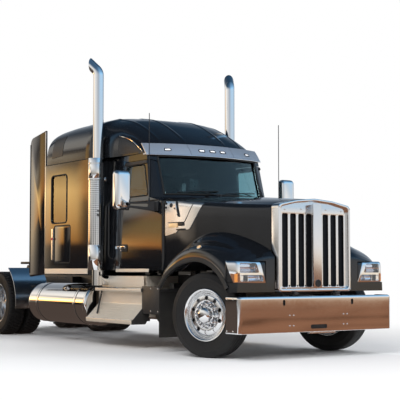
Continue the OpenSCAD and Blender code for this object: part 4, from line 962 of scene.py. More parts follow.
RIM = [(0.036, 0.104), (0.035, 0.068), (0.032, 0.061), (0.026, 0.058), (0.01, 0.058), (0.004, 0.06), (0.0, 0.066),
       (0.0, 0.2), (0.006, 0.2), (0.006, 0.12)]
rim = skin("grille_rim", [[(x_of(d), y, z) for y, z in grille_rim(s)] for s, d in RIM], loop=True, sharp=40)
face = plate("grille_face", [grille_rim(0.032)] + grille_slots(), 0.014, front_face(FACE_D + 0.007), 0.004, 3)
BLADE = [(0.102, 0.02), (0.066, 0.022), (0.034, 0.056), (0.026, 0.065), (0.02, 0.068), (0.015, 0.066), (0.012, 0.06)]


def blade_row(z, s=1.0):
    half = [(d, y * s) for d, y in BLADE]
    return [(x_of(d), y, z) for d, y in half] + [(x_of(d), -y, z) for d, y in half[::-1]]


blade = skin("grille_blade", [blade_row(0.868, 0.97), blade_row(0.872), blade_row(1.4), blade_row(1.89),
                              blade_row(1.896, 0.97)], loop=True, caps=True, sharp=30)
dress(join("grille_bright", [rim, face, blade]), "bonnet_unit", "grille_alloy", "grille")
ears = [block("hinge_ear", 0.02, 0.1, s * 0.33 - 0.014, s * 0.33 + 0.014, 0.776, 0.822, 0.006) for s in (1, -1)]
dress(join("grille_hinge_ears", ears), "bonnet_unit", "chassis_paint")
core = plate("grille_core", [grille_rim(0.034)], 0.01, front_face(CORE_D))
dress(core, "bonnet_unit", "core_fins")
eye = spun("grille_sensor", [(0, 0.008), (0.026, 0.008), (0.03, 0.012), (0.041, 0.012), (0.045, 0.008),
                             (0.045, -0.004), (0, -0.004)], front_face(0.011) @ Matrix.Translation((0, 0.918, 0)), 48)
dress(eye, "bonnet_unit", "dark_plastic")
print("grille slots:", len(grille_slots()))

# %% [markdown]
# ## Things that repeat: bolts, nuts, tread blocks and holes
# Bolt heads, wheel nuts and tread blocks are one small form set down many times. A Geometry Nodes tree
# does that: it reads points that carry an outward direction, stands the form on each of them, makes
# the copies real and gives them their finish. The result is then kept as a plain mesh.

# %% Geometry Nodes: stand a form on points
def points_tree():
    tree = bpy.data.node_groups.new("stand on points", "GeometryNodeTree")
    for label, kind in (("Geometry", "Geometry"), ("Form", "Object"), ("Size", "Float"), ("Finish", "Material")):
        tree.interface.new_socket(label, in_out="INPUT", socket_type="NodeSocket" + kind)
    tree.interface.new_socket("Geometry", in_out="OUTPUT", socket_type="NodeSocketGeometry")
    given = node(tree, "NodeGroupInput").outputs
    out, along = (node(tree, "GeometryNodeInputNamedAttribute", {"Name": label}, data_type="FLOAT_VECTOR")
                  for label in ("outwards", "along"))
    axes = {"Primary Axis": out.outputs["Attribute"], "Secondary Axis": along.outputs["Attribute"]}
    aim = node(tree, "FunctionNodeAxesToRotation", axes, primary_axis="Z", secondary_axis="X")
    form = node(tree, "GeometryNodeObjectInfo", {"Object": given["Form"]}).outputs["Geometry"]
    copies = node(tree, "GeometryNodeInstanceOnPoints", {"Points": given["Geometry"], "Instance": form,
                                                         "Rotation": aim.outputs[0], "Scale": given["Size"]})
    real = node(tree, "GeometryNodeRealizeInstances", {0: copies.outputs[0]})
    paint = node(tree, "GeometryNodeSetMaterial", {"Geometry": real.outputs[0], "Material": given["Finish"]})
    node(tree, "NodeGroupOutput", {0: paint.outputs[0]})
    return tree


STAND = points_tree()


def stand(name, form, spots, finish_name, size=1.0):
    """spots are (place, outwards, along); gives one plain mesh with the form on each of them."""
    obj = loose(name, [s[0] for s in spots])
    for label, k in (("outwards", 1), ("along", 2)):
        attribute = obj.data.attributes.new(label, "FLOAT_VECTOR", "POINT")
        attribute.data.foreach_set("vector", [c for s in spots for c in s[k]])
    m = obj.modifiers.new("stand", "NODES")
    m.node_group = STAND
    values = {"Form": form, "Size": size, "Finish": FINISHES[finish_name]}
    for item in STAND.interface.items_tree:
        if item.in_out == "INPUT" and item.name in values:
            m[item.identifier] = values[item.name]
    form.hide_render = True
    obj = settle(obj, 40)
    for label in ("outwards", "along"):
        if label in obj.data.attributes:
            obj.data.attributes.remove(obj.data.attributes[label])
    return obj


def bolts(name, body, finish_name, r, h, spots):
    """Low round bolt heads on washers."""
    form = spun("dome_bolt", [(0, h), (r * 0.45, h * 0.95), (r * 0.72, h * 0.7), (r * 0.78, h * 0.25), (r, h * 0.22),
                              (r, -0.001)], steps=12)
    dress(stand(name, form, spots, finish_name), body, finish_name)
    drop(form)


def wheel_nut():
    """A nut under a bright cap: flange, six flats, rounded crown."""
    rows = []
    for r, h, six in ((0.027, 0.0, 0), (0.027, 0.006, 0), (0.022, 0.009, 1), (0.022, 0.034, 1), (0.019, 0.044, 0.5),
                      (0.012, 0.052, 0), (0.0, 0.055, 0)):
        row = []
        for a in turns(24):
            flat = cos(pi / 6) / cos((a % (pi / 3)) - pi / 6)
            rr = r * (1 - six + six * flat)
            row.append((rr * cos(a), rr * sin(a), h))
        rows.append(row)
    return skin("wheel_nut", rows, loop=True, sharp=50)


AHEAD, ACROSS = (1, 0, 0), (0, 1, 0)
spots = [((x_of(FACE_D), s * y, z), AHEAD, ACROSS) for s in (1, -1)
         for y, z in ((0.455, 1.822), (0.2, 1.832), (0.095, 1.836), (0.515, 0.862), (0.44, 0.858))]
spots += [((x_of(0.058), s * 0.562, z), AHEAD, ACROSS) for s in (1, -1) for z in (1.852, 0.84)]
bolts("grille_bolts", "bonnet_unit", "mirror_chrome", 0.012, 0.007, spots)
stops = [((x_of(FACE_D), s * (0.131 + 0.128 * k), 0.888), AHEAD, ACROSS) for s in (1, -1) for k in range(3)]
bolts("grille_stops", "bonnet_unit", "dark_plastic", 0.012, 0.007, stops)
print("grille bolts:", len(spots))

# %% [markdown]
# ## Bumper
# A polished plate folded back at both ends, with a rolled upper edge that shows as one bright line. The
# plan line is swept up a short profile, the wall is added, and the slots are cut through it.

# %% Bumper
BUMPER_Y = 1.22


def bumper_line(s):
    w = BUMPER_Y - s
    return rounded([(0.27, -w, 0), (s, -w, 0.05), (s, w, 0.05), (0.27, w, 0)], 10)


PROFILE = [(0.016, 0.3255), (0.006, 0.326), (0.0, 0.334), (0.0, 0.34), (0.0, 0.45), (0.0, 0.6), (0.0, 0.732),
           (0.0, 0.738), (0.003, 0.752), (0.01, 0.761), (0.022, 0.765), (0.04, 0.764)]
bumper = skin("bumper_plate", [[(x_of(d), y, z) for d, y in bumper_line(s)] for s, z in PROFILE], sharp=40)
bumper = thicken(bumper, 0.005)
SLOTS_AT = [oblong(y - 0.019, y + 0.019, 0.652, 0.722, 0.016) for y in (0.545, -0.545)]
SLOTS_AT.append(oblong(-0.13, 0.13, 0.365, 0.415, 0.02))
slots = [plate("slot", [loop], 0.08, front_face(0.0)) for loop in SLOTS_AT]
cut(bumper, slots, sharp=40)
dress(bumper, "chassis", "mirror_chrome", "bumper")
spots = [((x_of(0), y, z), AHEAD, ACROSS) for y in (-0.46, -0.4, 0.4, 0.46) for z in (0.405, 0.53)]
spots += [((x_of(d), s * BUMPER_Y, z), (0, s, 0), AHEAD) for s in (1, -1) for d in (0.12, 0.245)
          for z in (0.36, 0.735)]
bolts("bumper_bolts", "chassis", "mirror_chrome", 0.011, 0.006, spots)
# Dark plates just behind the slots are painted shade that shows through them.
backs = [block("slot_back", 0.02, 0.03, s * 0.545 - 0.03, s * 0.545 + 0.03, 0.64, 0.735, 0.002) for s in (1, -1)]
backs.append(block("slot_back", 0.02, 0.03, -0.15, 0.15, 0.35, 0.43, 0.002))
dress(join("bumper_slot_backs", backs), "chassis", "dark_plastic")
step_bar = block("number_plate_bar", 0.06, 0.1, -0.1, 0.32, 0.3, 0.326, 0.004)
dress(step_bar, "chassis", "polished_alloy")
print("bumper slots:", len(slots))

# %% [markdown]
# ## Wheels
# Tyres and rims are spun profiles. Steering tyres have straight grooves, which the profile already
# holds; drive tyres have rows of lugs, stood on the carcass by the same tree as the bolts. Each wheel is
# made once at the origin and then laid on its axle, because the front pair stands steered.

# %% Tyres, rims and hubs
TYRE_R, TWIN = 0.526, 0.165  # a tyre's radius, half the distance between twins
SIDE_WALL = [(0.3, 0.106), (0.322, 0.114), (0.334, 0.122), (0.345, 0.1275), (0.352, 0.1285), (0.354, 0.131),
             (0.362, 0.1335), (0.364, 0.1325), (0.385, 0.139), (0.42, 0.1415), (0.446, 0.1402), (0.449, 0.1412),
             (0.455, 0.1405), (0.458, 0.1385), (0.48, 0.1335), (0.5, 0.1265)]


def tyre_profile(tread):
    half = SIDE_WALL + tread
    return half + [(r, -h) for r, h in half[::-1]]


def groove(h, deep=0.014, half=0.0055):
    side = [(TYRE_R, half + 0.0012), (TYRE_R - 0.002, half), (TYRE_R - deep, half * 0.7)]
    return [(r, h + w) for r, w in side] + [(r, h - w) for r, w in side[::-1]]


RIB_TREAD = [(0.514, 0.1215), (0.522, 0.115), (0.5255, 0.106)] + groove(0.078) + groove(0.03)
LUG_TREAD = [(0.506, 0.1215), (0.509, 0.112), (0.51, 0.05)]
RIM_HALF = [(0.324, 0.1275), (0.32, 0.1305), (0.313, 0.1295), (0.306, 0.1255), (0.297, 0.115), (0.291, 0.1),
            (0.284, 0.06), (0.277, 0.03)]
RIM_INNER = [(0.324, 0.123), (0.309, 0.116), (0.303, 0.105), (0.296, 0.07), (0.285, 0.035)]


def rim_ring(name, shift=0.0):
    loop = RIM_HALF + [(r, -h) for r, h in RIM_HALF[::-1]] + [(r, -h) for r, h in RIM_INNER] + RIM_INNER[::-1]
    return spun(name, [(r, h + shift) for r, h in loop], steps=96, closed=True, sharp=40)


def disc(name, profile, wall, hole_pitch, hole_r, holes, depth):
    """A pressed wheel disc with hand holes."""
    back = [(r, h - wall) for r, h in profile[::-1]]
    obj = spun(name, profile + back, steps=120, closed=True, sharp=40)
    punches = [spun("punch", [(0, -0.3), (hole_r, -0.3), (hole_r, 0.3), (0, 0.3)],
                    Matrix.Translation((hole_pitch * cos(a), hole_pitch * sin(a), depth)), 24)
               for a in turns(holes, pi / holes)]
    return cut(obj, punches, sharp=40)


def ring_spots(count, r, h):
    return [((r * cos(a), r * sin(a), h), (0, 0, 1), (cos(a), sin(a), 0)) for a in turns(count)]


nut = wheel_nut()
FRONT_DISC = [(0.281, 0.052), (0.268, 0.058), (0.258, 0.076), (0.249, 0.088), (0.236, 0.0935), (0.185, 0.0955),
              (0.172, 0.094), (0.164, 0.089), (0.158, 0.085), (0.108, 0.084)]
HUB_CAP = [(0.11, 0.08), (0.11, 0.092), (0.106, 0.096), (0.098, 0.098), (0.096, 0.104), (0.096, 0.136), (0.09, 0.156),
           (0.074, 0.17), (0.05, 0.177), (0.022, 0.18), (0, 0.1803)]
front_alloy = join("front_alloy", [rim_ring("rim"), disc("disc", FRONT_DISC, 0.014, 0.2125, 0.027, 10, 0.09)], 40)
front_cap = spun("front_cap", HUB_CAP, steps=72, sharp=30)
# Two thin dark rings, at the edge of the hub cap and at the outer edge of the nuts' recess, are painted shade round
# the recess.
front_rings = join("front_rings", [
    spun("nut_ring", [(r0, h - 0.004), (r0, h), (r1, h), (r1, h - 0.004)], steps=72, closed=True)
    for r0, r1, h in ((0.1105, 0.1165, 0.0846), (0.16, 0.1655, 0.0905))])
front_nuts = stand("front_nuts", nut, ring_spots(10, 0.138, 0.085), "mirror_chrome", 1.12)
front_face_ring = spun("face_ring", [(0.116, 0.0835), (0.116, 0.0862), (0.1605, 0.0862), (0.1605, 0.0835)], steps=72,
                       closed=True)
front_tyre = spun("front_tyre", tyre_profile(RIB_TREAD), steps=144, closed=True, sharp=30)

DRIVE_DISC = [(0.283, 0.098), (0.272, 0.094), (0.265, 0.076), (0.258, 0.048), (0.25, 0.032), (0.238, 0.026),
              (0.165, 0.024), (0.108, 0.024)]
DRIVE_HUB = [(0.16, 0.02), (0.16, 0.03), (0.152, 0.058), (0.146, 0.062), (0.122, 0.064), (0.116, 0.07),
             (0.112, 0.146), (0.106, 0.154), (0.06, 0.156), (0.05, 0.16), (0, 0.161)]
drive_alloy = join("drive_alloy", [rim_ring("rim", TWIN), rim_ring("rim", -TWIN),
                                   disc("disc", DRIVE_DISC, 0.014, 0.2125, 0.027, 10, 0.02)], 40)
drive_hub = spun("drive_hub", DRIVE_HUB, steps=72, sharp=30)
drive_nuts = join("drive_nuts", [stand("nuts", nut, ring_spots(10, 0.185, 0.024), "mirror_chrome"),
                                 stand("studs", nut, ring_spots(8, 0.133, 0.06), "mirror_chrome", 0.45)], 40)
drop(nut)
drum = spun("drum", [(0.12, -0.02), (0.19, -0.02), (0.206, -0.036), (0.206, -0.266), (0.19, -0.28), (0.12, -0.28)],
            steps=72, closed=True, sharp=30)
print("wheel forms made")

# %% Lugs of the drive tyres
LUGS, LUG_BASE = 52, 0.5085


def lug(length, width, high, lean=0.25):
    rows = []
    for z, s in ((0.0, 1.04), (high - 0.002, 0.97), (high, 0.93)):
        a, b, k = length / 2 * s, width / 2 * s, width * lean / 2
        rows.append([(-a - k, -b, z), (a - k, -b, z), (a + k, b, z), (-a + k, b, z)])
    verts = [p for row in rows for p in row]
    faces = grid_faces(3, 4, True)
    return piece("lug", verts, faces + [(8, 9, 10, 11)], sharp=20)


def lug_row(h, turn, tilt=0.0, r=LUG_BASE):
    spots = []
    for a in turns(LUGS, 2 * pi * turn / LUGS):
        radial, around = Vector((cos(a), sin(a), 0)), Vector((-sin(a), cos(a), 0))
        out = radial * cos(tilt) + Vector((0, 0, sin(tilt)))
        spots.append(((r * radial.x, r * radial.y, h), out, around))
    return spots


wide, narrow, edge_lug = lug(0.046, 0.046, 0.0175), lug(0.044, 0.04, 0.0172, -0.3), lug(0.034, 0.03, 0.012, 0.0)
rows_of_lugs = []
for shift in (TWIN, -TWIN):
    for form, places in (
            (wide, lug_row(shift + 0.091, 0.0) + lug_row(shift - 0.091, 0.5)),
            (narrow, lug_row(shift + 0.044, 0.35) + lug_row(shift - 0.044, 0.85) + lug_row(shift, 0.1)),
            (edge_lug, lug_row(shift + 0.1165, 0.0, 0.6, 0.505) + lug_row(shift - 0.1165, 0.5, -0.6, 0.505))):
        rows_of_lugs.append(stand("lugs", form, places, "tyre_rubber"))
drop(wide, narrow, edge_lug)
carcasses = [spun("carcass", [(r, h + s) for r, h in tyre_profile(LUG_TREAD)], steps=120, closed=True, sharp=30)
             for s in (TWIN, -TWIN)]
drive_tyres = join("drive_tyres", carcasses + rows_of_lugs, 30)
print("lugs on a pair of tyres:", LUGS * 14)

# %% Wheels laid on their axles
def lay(forms, tag, body, centre, out):
    """Puts copies of a wheel's forms on its axle; each of the forms is (form, name, finish, nodes)."""
    out, up = Vector(out).normalized(), Vector((0, 0, 1))
    place = frame_of(up.cross(out), up, out, centre)
    for form, name, finish_name, *nodes in forms:
        obj = copy_of(form, name + tag)
        obj.data.transform(place)
        dress(obj, body + tag, finish_name, *(n + tag for n in nodes))


FRONT_SET = [(front_tyre, "steer_tyre", "tyre_rubber", "front_tyre"),
             (front_alloy, "steer_wheel", "wheel_alloy", "front_wheel"),
             (front_cap, "steer_hub_cap", "mirror_chrome"), (front_nuts, "steer_nuts", "mirror_chrome"),
             (front_rings, "steer_rings", "dark_plastic"), (front_face_ring, "steer_face", "cast_iron")]
DRIVE_SET = [(drive_tyres, "drive_pair", "tyre_rubber", "drive_tyres"),
             (drive_alloy, "drive_alloys", "wheel_alloy", "drive_wheels"),
             (drive_hub, "drive_hub_cap", "mirror_chrome"), (drive_nuts, "drive_nuts", "mirror_chrome"),
             (drum, "brake_drum", "cast_iron")]
DRIVE_D, TANDEM, DRIVE_Y = 6.88, 1.32, 0.913
lay(FRONT_SET, "_left", "front_wheel_unit", (3.49456, 1.02217, AXLE_Z), (-0.309017, 0.951057, 0))
lay(FRONT_SET, "_right", "front_wheel_unit", (3.59344, -1.02217, AXLE_Z), (0.309017, -0.951057, 0))
for n in (1, 2):
    for side, s in (("left", 1), ("right", -1)):
        lay(DRIVE_SET, f"_{n}_{side}", "drive_unit", (x_of(DRIVE_D + TANDEM * (n - 1)), s * DRIVE_Y, AXLE_Z),
            (0, s, 0))
drop(*(row[0] for row in FRONT_SET + DRIVE_SET))
print("wheels laid:", 2 + 8)

# %% [markdown]
# ## Exhaust stacks
# Each stack is a bright pipe that turns back and outwards at its tip, where it is cut upright. A guard
# with rows of holes stands round its lower half. A row of holes is one small square with a hole in it,
# stood on a cylinder hundreds of times; neighbouring squares meet edge to edge.

# %% Exhaust stacks
STACK_D, STACK_Y, STACK_R, GUARD_R = 3.5, 1.172, 0.076, 0.114
RAIL_FACE = 0.4304  # where brackets meet the frame rails
GUARD_D, GUARD_Y = STACK_D + 0.024, STACK_Y + 0.016
BEND_Z, BEND_R, TIP_TURN, TIP_REACH = 3.895, 0.12, radians(48), 0.125
TIP_WAY = Vector((-cos(radians(30)), sin(radians(30)), 0))


def tip_path(low, reach):
    foot = Vector((x_of(STACK_D), STACK_Y, 0))
    pts = [foot + Vector((0, 0, z)) for z in np.linspace(low, BEND_Z, 6)]
    for k in range(1, 13):
        a = TIP_TURN * k / 12
        pts.append(foot + TIP_WAY * BEND_R * (1 - cos(a)) + Vector((0, 0, BEND_Z + BEND_R * sin(a))))
    ahead = TIP_WAY * sin(TIP_TURN) + Vector((0, 0, cos(TIP_TURN)))
    return pts + [pts[-1] + ahead * reach * k / 4 for k in range(1, 5)]


def plane_cut(obj, place, way):
    """Takes off what lies beyond a plane and leaves the end open."""
    with editing(obj) as bm:
        bmesh.ops.bisect_plane(bm, geom=bm.verts[:] + bm.edges[:] + bm.faces[:], plane_co=place, plane_no=way,
                               clear_outer=True)
    return obj


def open_tube(name, path, radius, steps):
    obj = tube(name, path, radius, steps)
    with editing(obj) as bm:
        bmesh.ops.delete(bm, geom=[f for f in bm.faces if len(f.verts) > 4], context="FACES_ONLY")
    return obj


def on_guard(name, profile, steps=64):
    """A ring about the guard's axis; its profile is (depth under the guard's face, height)."""
    place = Matrix.Translation((x_of(GUARD_D), GUARD_Y, 0))
    return spun(name, [(GUARD_R - s, z) for s, z in profile], place, steps, True)


tip_edge = Vector((x_of(STACK_D), STACK_Y, 0)) + TIP_WAY * TIP_REACH
pipe = thicken(plane_cut(open_tube("pipe", tip_path(0.86, 0.4), STACK_R, 40), tip_edge, TIP_WAY), 0.004)
soot = plane_cut(open_tube("soot", tip_path(3.85, 0.4), STACK_R - 0.0045, 32), tip_edge - TIP_WAY * 0.004, TIP_WAY)
elbow = [Vector((x_of(STACK_D), y, 0.93)) for y in (0.47, 0.7, 0.95)]
elbow += [Vector((x_of(STACK_D), 1.032 + 0.14 * sin(a), 1.07 - 0.14 * cos(a)))
          for a in (pi / 2 * k / 10 for k in range(11))]
cross_pipe = tube("cross_pipe", elbow, 0.068, 32)
GUARD_LOW, GUARD_HIGH, HOLES_LOW, HOLES_HIGH = 1.08, 2.69, 1.44, 2.37
collars = [on_guard("guard_end", [(0.004, z0), (0.001, z0), (0, z0 + 0.002), (0, z1 - 0.002), (0.001, z1),
                                  (0.004, z1)])
           for z0, z1 in ((GUARD_LOW, HOLES_LOW), (HOLES_HIGH, GUARD_HIGH))]
guard_cap = on_guard("guard_cap", [(0.064, 2.694), (0.008, 2.691), (0, 2.682), (0.006, 2.672), (0.064, 2.668)])
bands = [on_guard("band", [(-0.0005, z), (-0.004, z + 0.003), (-0.004, z + 0.022), (-0.0005, z + 0.025)])
         for z in (2.375, 2.6)]
bracket = block("stack_bracket", 3.475, 3.525, 1.0404, 1.075, 2.36, 2.42, 0.004)
strap = block("stack_foot", 3.455, 3.545, RAIL_FACE, 0.49, 0.88, 0.98, 0.004)


def holed_square(w, h, r):
    ring = [(r * cos(a), r * sin(a)) for a in turns(8)]
    edge_points = [(w / 2, 0), (w / 2, h / 2), (0, h / 2), (-w / 2, h / 2), (-w / 2, 0), (-w / 2, -h / 2),
                   (0, -h / 2), (w / 2, -h / 2)]
    verts = [(x, y, 0) for x, y in edge_points] + [(x, y, 0) for x, y in ring] + [(x, y, -0.002) for x, y in ring]
    return loose("holed_square", verts, grid_faces(3, 8, True))


COLUMNS, ROWS = 24, 34
cell_w, cell_h = 2 * (GUARD_R - 0.002) * tan(pi / COLUMNS), (HOLES_HIGH - HOLES_LOW) / ROWS
square = holed_square(cell_w, cell_h, 0.0088)
spots = [((x_of(GUARD_D) + (GUARD_R - 0.002) * cos(a), GUARD_Y + (GUARD_R - 0.002) * sin(a),
           HOLES_LOW + cell_h * (i + 0.5)), (cos(a), sin(a), 0), (-sin(a), cos(a), 0))
         for i in range(ROWS) for a in turns(COLUMNS)]
holes_left = stand("guard_holes", square, spots, "mirror_chrome")
drop(square)
pair("stacks_bright", "chassis", "mirror_chrome",
     [pipe, cross_pipe, guard_cap, bracket, strap] + collars + bands + [holes_left], "exhaust_stacks")
# A dark sheet just inside the guard, behind the rows of holes, is painted shade seen through them; the dark tube in
# the tip stands for soot.
guard_shade = on_guard("guard_liner", [(0.01, HOLES_LOW), (0.009, HOLES_LOW), (0.009, HOLES_HIGH), (0.01, HOLES_HIGH)], 48)
pair("stacks_soot", "chassis", "dark_plastic", [soot, guard_shade])
print("guard holes on each side:", len(spots))

# %% [markdown]
# ## Tanks, steps and what hangs on the rails
# The tanks are polished barrels in two straps. The steps are folded tread plate; their raised rings are
# another form stood on points. Quarter fenders and mud flaps are thin sheets.

# %% Fuel tanks
TANK_Y, TANK_Z, TANK_R, TANK_D0, TANK_D1 = 0.88, 0.57, 0.31, 3.86, 5.76


def along_truck(d, y, z):
    """Local Z points to the rear."""
    return frame_of((0, 0, 1), (0, 1, 0), (-1, 0, 0), (x_of(d), y, z))


def tank_form():
    long = TANK_D1 - TANK_D0
    end = [(0, 0.01), (0.12, 0.008), (0.22, 0.003), (0.262, 0.0), (0.283, 0.003), (0.299, 0.012), (0.307, 0.026),
           (TANK_R, 0.045)]
    profile = end + [(TANK_R, 0.06), (TANK_R, long - 0.06)] + [(r, long - h) for r, h in end[::-1]]
    return spun("tank", profile, along_truck(TANK_D0, TANK_Y, TANK_Z), 96, sharp=40)


def ring_on_tank(d, r0, r1, wide):
    return spun("tank_ring", [(r0, -wide / 2), (r1 - 0.001, -wide / 2), (r1, -wide / 2 + 0.002),
                              (r1, wide / 2 - 0.002), (r1 - 0.001, wide / 2), (r0, wide / 2)],
                along_truck(d, TANK_Y, TANK_Z), 96, True)


seams = [ring_on_tank(d, TANK_R - 0.002, TANK_R + 0.0015, 0.006) for d in (3.925, 5.695)]
pair("tanks_polished", "chassis", "tank_alloy", [tank_form()] + seams, "fuel_tanks")
STRAPS = (4.19, 5.43)
pair("tank_straps", "chassis", "mirror_chrome",
     [ring_on_tank(d, TANK_R + 0.0005, TANK_R + 0.006, 0.062) for d in STRAPS])
pair("tank_strap_pads", "chassis", "black_rubber",
     [ring_on_tank(d, TANK_R - 0.001, TANK_R + 0.0025, 0.078) for d in STRAPS])
legs = []
for d in STRAPS:
    legs.append(block("tank_leg", d - 0.05, d + 0.05, RAIL_FACE, 0.59, 0.22, 0.975, 0.006))
    legs.append(block("tank_cradle", d - 0.05, d + 0.05, 0.57, 0.88, 0.222, 0.34, 0.01))
pair("tank_brackets", "chassis", "chassis_paint", legs)
cap_at = (Matrix.Translation((x_of(4.62), TANK_Y, TANK_Z)) @ Matrix.Rotation(radians(-38), 4, "X")
          @ Matrix.Translation((0, 0, TANK_R)))
filler = spun("filler", [(0, 0.03), (0.044, 0.029), (0.05, 0.024), (0.05, 0.006), (0.058, 0.004), (0.06, -0.004)],
              cap_at, 40)
pair("tank_fillers", "chassis", "polished_alloy", [filler])
print("tank straps:", 2 * len(STRAPS))

# %% Steps below the doors
STEP_D0, STEP_D1 = 2.48, 3.77
STEP_SHAPE = rounded([(0.93, 0.83, 0.008), (0.93, 0.44, 0.01), (0.99, 0.34, 0.02), (1.21, 0.34, 0.012),
                      (1.21, 0.4, 0.008), (1.185, 0.408, 0.008), (0.99, 0.61, 0.02), (0.99, 0.78, 0.01),
                      (1.06, 0.78, 0.008), (1.06, 0.83, 0.008)], 4)
step = plate("step", [STEP_SHAPE], STEP_D1 - STEP_D0, front_face((STEP_D0 + STEP_D1) / 2), 0.003)
box_low = block("step_box", 2.5, 3.75, RAIL_FACE, 0.95, 0.48, 0.82, 0.01)
box_high = block("step_box_high", 2.5, 3.36, RAIL_FACE, 0.95, 0.44, 1.0, 0.01)

RING_PITCH = 0.0345


def ring_grid(d0, rows, columns):
    """Spots in staggered rows; each of the rows is (y, z, outwards)."""
    return [((x_of(d0 + (k + 0.5 * (i % 2)) * RING_PITCH), y, z), out, AHEAD)
            for i, (y, z, out) in enumerate(rows) for k in range(columns)]


slope_out = Vector((0, 0.202, 0.195)).normalized()
slope = [0.08 + 0.84 * i / 6 for i in range(7)]
spots = ring_grid(STEP_D0 + 0.03, [(1.185 - 0.195 * t, 0.408 + 0.202 * t, slope_out) for t in slope], 36)
spots += ring_grid(STEP_D0 + 0.03, [(1.006 + 0.034 * i, 0.83, (0, 0, 1)) for i in range(2)], 36)
spots += ring_grid(2.525, [(0.95, 0.85 + 0.032 * i, ACROSS) for i in range(5)], 24)
ring_form = spun("raised_ring", [(0.0115, -0.001), (0.0095, 0.0022), (0.0065, 0.0026), (0.005, 0.0004)], steps=10)
print("rings on the steps:", 2 * len(spots))
rings = stand("step_rings", ring_form, spots, "tread_alloy")
drop(ring_form)
pair("steps_tread", "chassis", "tread_alloy", [step, box_low, box_high, rings], "cab_steps")
ends = [plate("step_end", [STEP_SHAPE], 0.012, front_face(d), 0.002) for d in (STEP_D0 - 0.006, STEP_D1 + 0.006)]
front_bracket = block("step_bracket", 2.0, 2.51, 0.85, 0.88, 0.47, 0.83, 0.006)
front_stay = block("step_stay", 2.0, 2.04, RAIL_FACE, 0.88, 0.64, 0.83, 0.006)
side_plate = block("step_side_plate", 2.03, 2.478, 1.034, 1.046, 0.49, 0.86, 0.004)
strut = tube("step_strut", [Vector((x_of(3.68), 0.996, 0.775)).lerp(Vector((x_of(3.54), 1.15, 0.462)), k / 6)
                            for k in range(7)], 0.013, 10)
pair("step_brackets", "chassis", "chassis_paint", ends + [front_bracket, front_stay, side_plate, strut])
spots = [((x_of(d), s * 1.046, z), (0, s, 0), AHEAD) for s in (1, -1) for d in (2.065, 2.245) for z in (0.525, 0.825)]
spots += [((x_of(d), s * (1.0 + 0.15 * t), 0.77 - 0.31 * t), (0, s * 0.72, 0.69), AHEAD)
          for s in (1, -1) for d, t in ((3.66, 0.1), (3.57, 0.88))]
bolts("step_bolts", "chassis", "mirror_chrome", 0.013, 0.008, spots)
lips_of_step = [tube("step_nosing", [(x_of(STEP_D0 + 0.01 + (STEP_D1 - STEP_D0 - 0.02) * k / 20), y, z)
                                     for k in range(21)], 0.007, 10)
                for y, z in ((1.203, 0.401), (1.056, 0.826))]
pair("step_nosings", "chassis", "mirror_chrome", lips_of_step)
print("step bolts:", len(spots))

# %% Fenders and flaps behind
def quarter_sheet(s, y0, y1, a0=-6, a1=56, n=32):
    rows = []
    for k in range(n + 1):
        a = radians(a0 + (a1 - a0) * k / n)
        r = 0.7 + s
        rows.append([(x_of(DRIVE_D - r * cos(a)), y, AXLE_Z + r * sin(a))
                     for y in (y0, y0 + 0.01, (y0 + y1) / 2, y1 - 0.01, y1)])
    return rows


sheet = thicken(skin("fender_sheet", quarter_sheet(0.008, 0.6115, 1.2115)), 0.004)
bead_path = [(x_of(DRIVE_D - 0.706 * cos(a)), 1.2075, AXLE_Z + 0.706 * sin(a))
             for a in (radians(-6 + 62 * k / 40) for k in range(41))]
fender_bead = tube("fender_bead", bead_path, 0.006, 10)
arm = block("fender_arm", 6.2256 - 0.005, 6.2256 + 0.04, RAIL_FACE, 0.91, 0.782, 0.827, 0.006)
pair("fenders_bright", "chassis", "polished_alloy", [sheet, fender_bead], "quarter_fenders")
pair("fender_arms", "chassis", "chassis_paint", [arm])


def flap(d, y0, y1, z0, z1):
    """A flap with a slight belly, on the same spot as its solid."""
    rows = []
    for i in range(13):
        t = i / 12
        z = z1 + (z0 - z1) * t
        rows.append([(x_of(d + 0.006 + 0.004 * sin(pi * t) * cos(pi * (k / 8 - 0.5))), y0 + (y1 - y0) * k / 8, z)
                     for k in range(9)])
    return thicken(skin("flap", rows), 0.007)


bars = [block("flap_bar", 8.858, 8.898, 0.6065, 1.2165, 0.93, 0.97, 0.008),
        block("flap_link", 8.6854, 8.9, 0.6015, 0.6315, 0.93, 0.97, 0.006),
        block("flap_arm", 8.6854, 8.7254, RAIL_FACE, 0.6265, 0.93, 0.97, 0.006),
        block("front_flap_bar", 1.795, 1.825, RAIL_FACE, 1.19, 0.8, 0.83, 0.006)]
flaps = [flap(8.888, 0.6065, 1.2165, 0.23, 0.94), flap(1.795, 0.7, 1.19, 0.2, 0.81)]
pair("flaps_rubber", "chassis", "black_rubber", flaps, "mud_flaps")
pair("flap_bars", "chassis", "chassis_paint", bars)
bar_caps = [block("flap_weight", 8.886, 8.902, 0.62, 1.205, 0.232, 0.262, 0.004)]
pair("flap_weights", "chassis", "mirror_chrome", bar_caps)
print("fenders and flaps made")

# %% [markdown]
# ## Headlamps
# Each lamp is a bright frame wrapped round the corner of its wing. Two openings are cut through it: a
# tall one with two troughs and a round bowl, and a low one with a reflector and a side lamp. Clear
# panes close them, and an amber reflector sits on the outer end.

# %% Headlamps
LAMP_LOW, LAMP_HIGH, LAMP_D = 0.925, 1.19, 0.096


def lamp_line(s, inner=0.735):
    """The lamp's front edge in plan, from the inner to the outer end."""
    return rounded([(0.252, inner + s, 0), (LAMP_D + s, inner + s, 0.02), (0.12 + s, 1.16 - s, 0.06),
                    (0.225, 1.227 - s, 0.03), (0.252, 1.233 - s, 0)], 6)


def lamp_rows(levels, slant=0.0):
    """Rows of the lamp's front; slant moves the inner end outwards towards the top."""
    return [[(x_of(min(0.252, d + lean)), y, z) for d, y in lamp_line(s, 0.735 + slant * (z - LAMP_LOW))]
            for z, s, lean in levels]


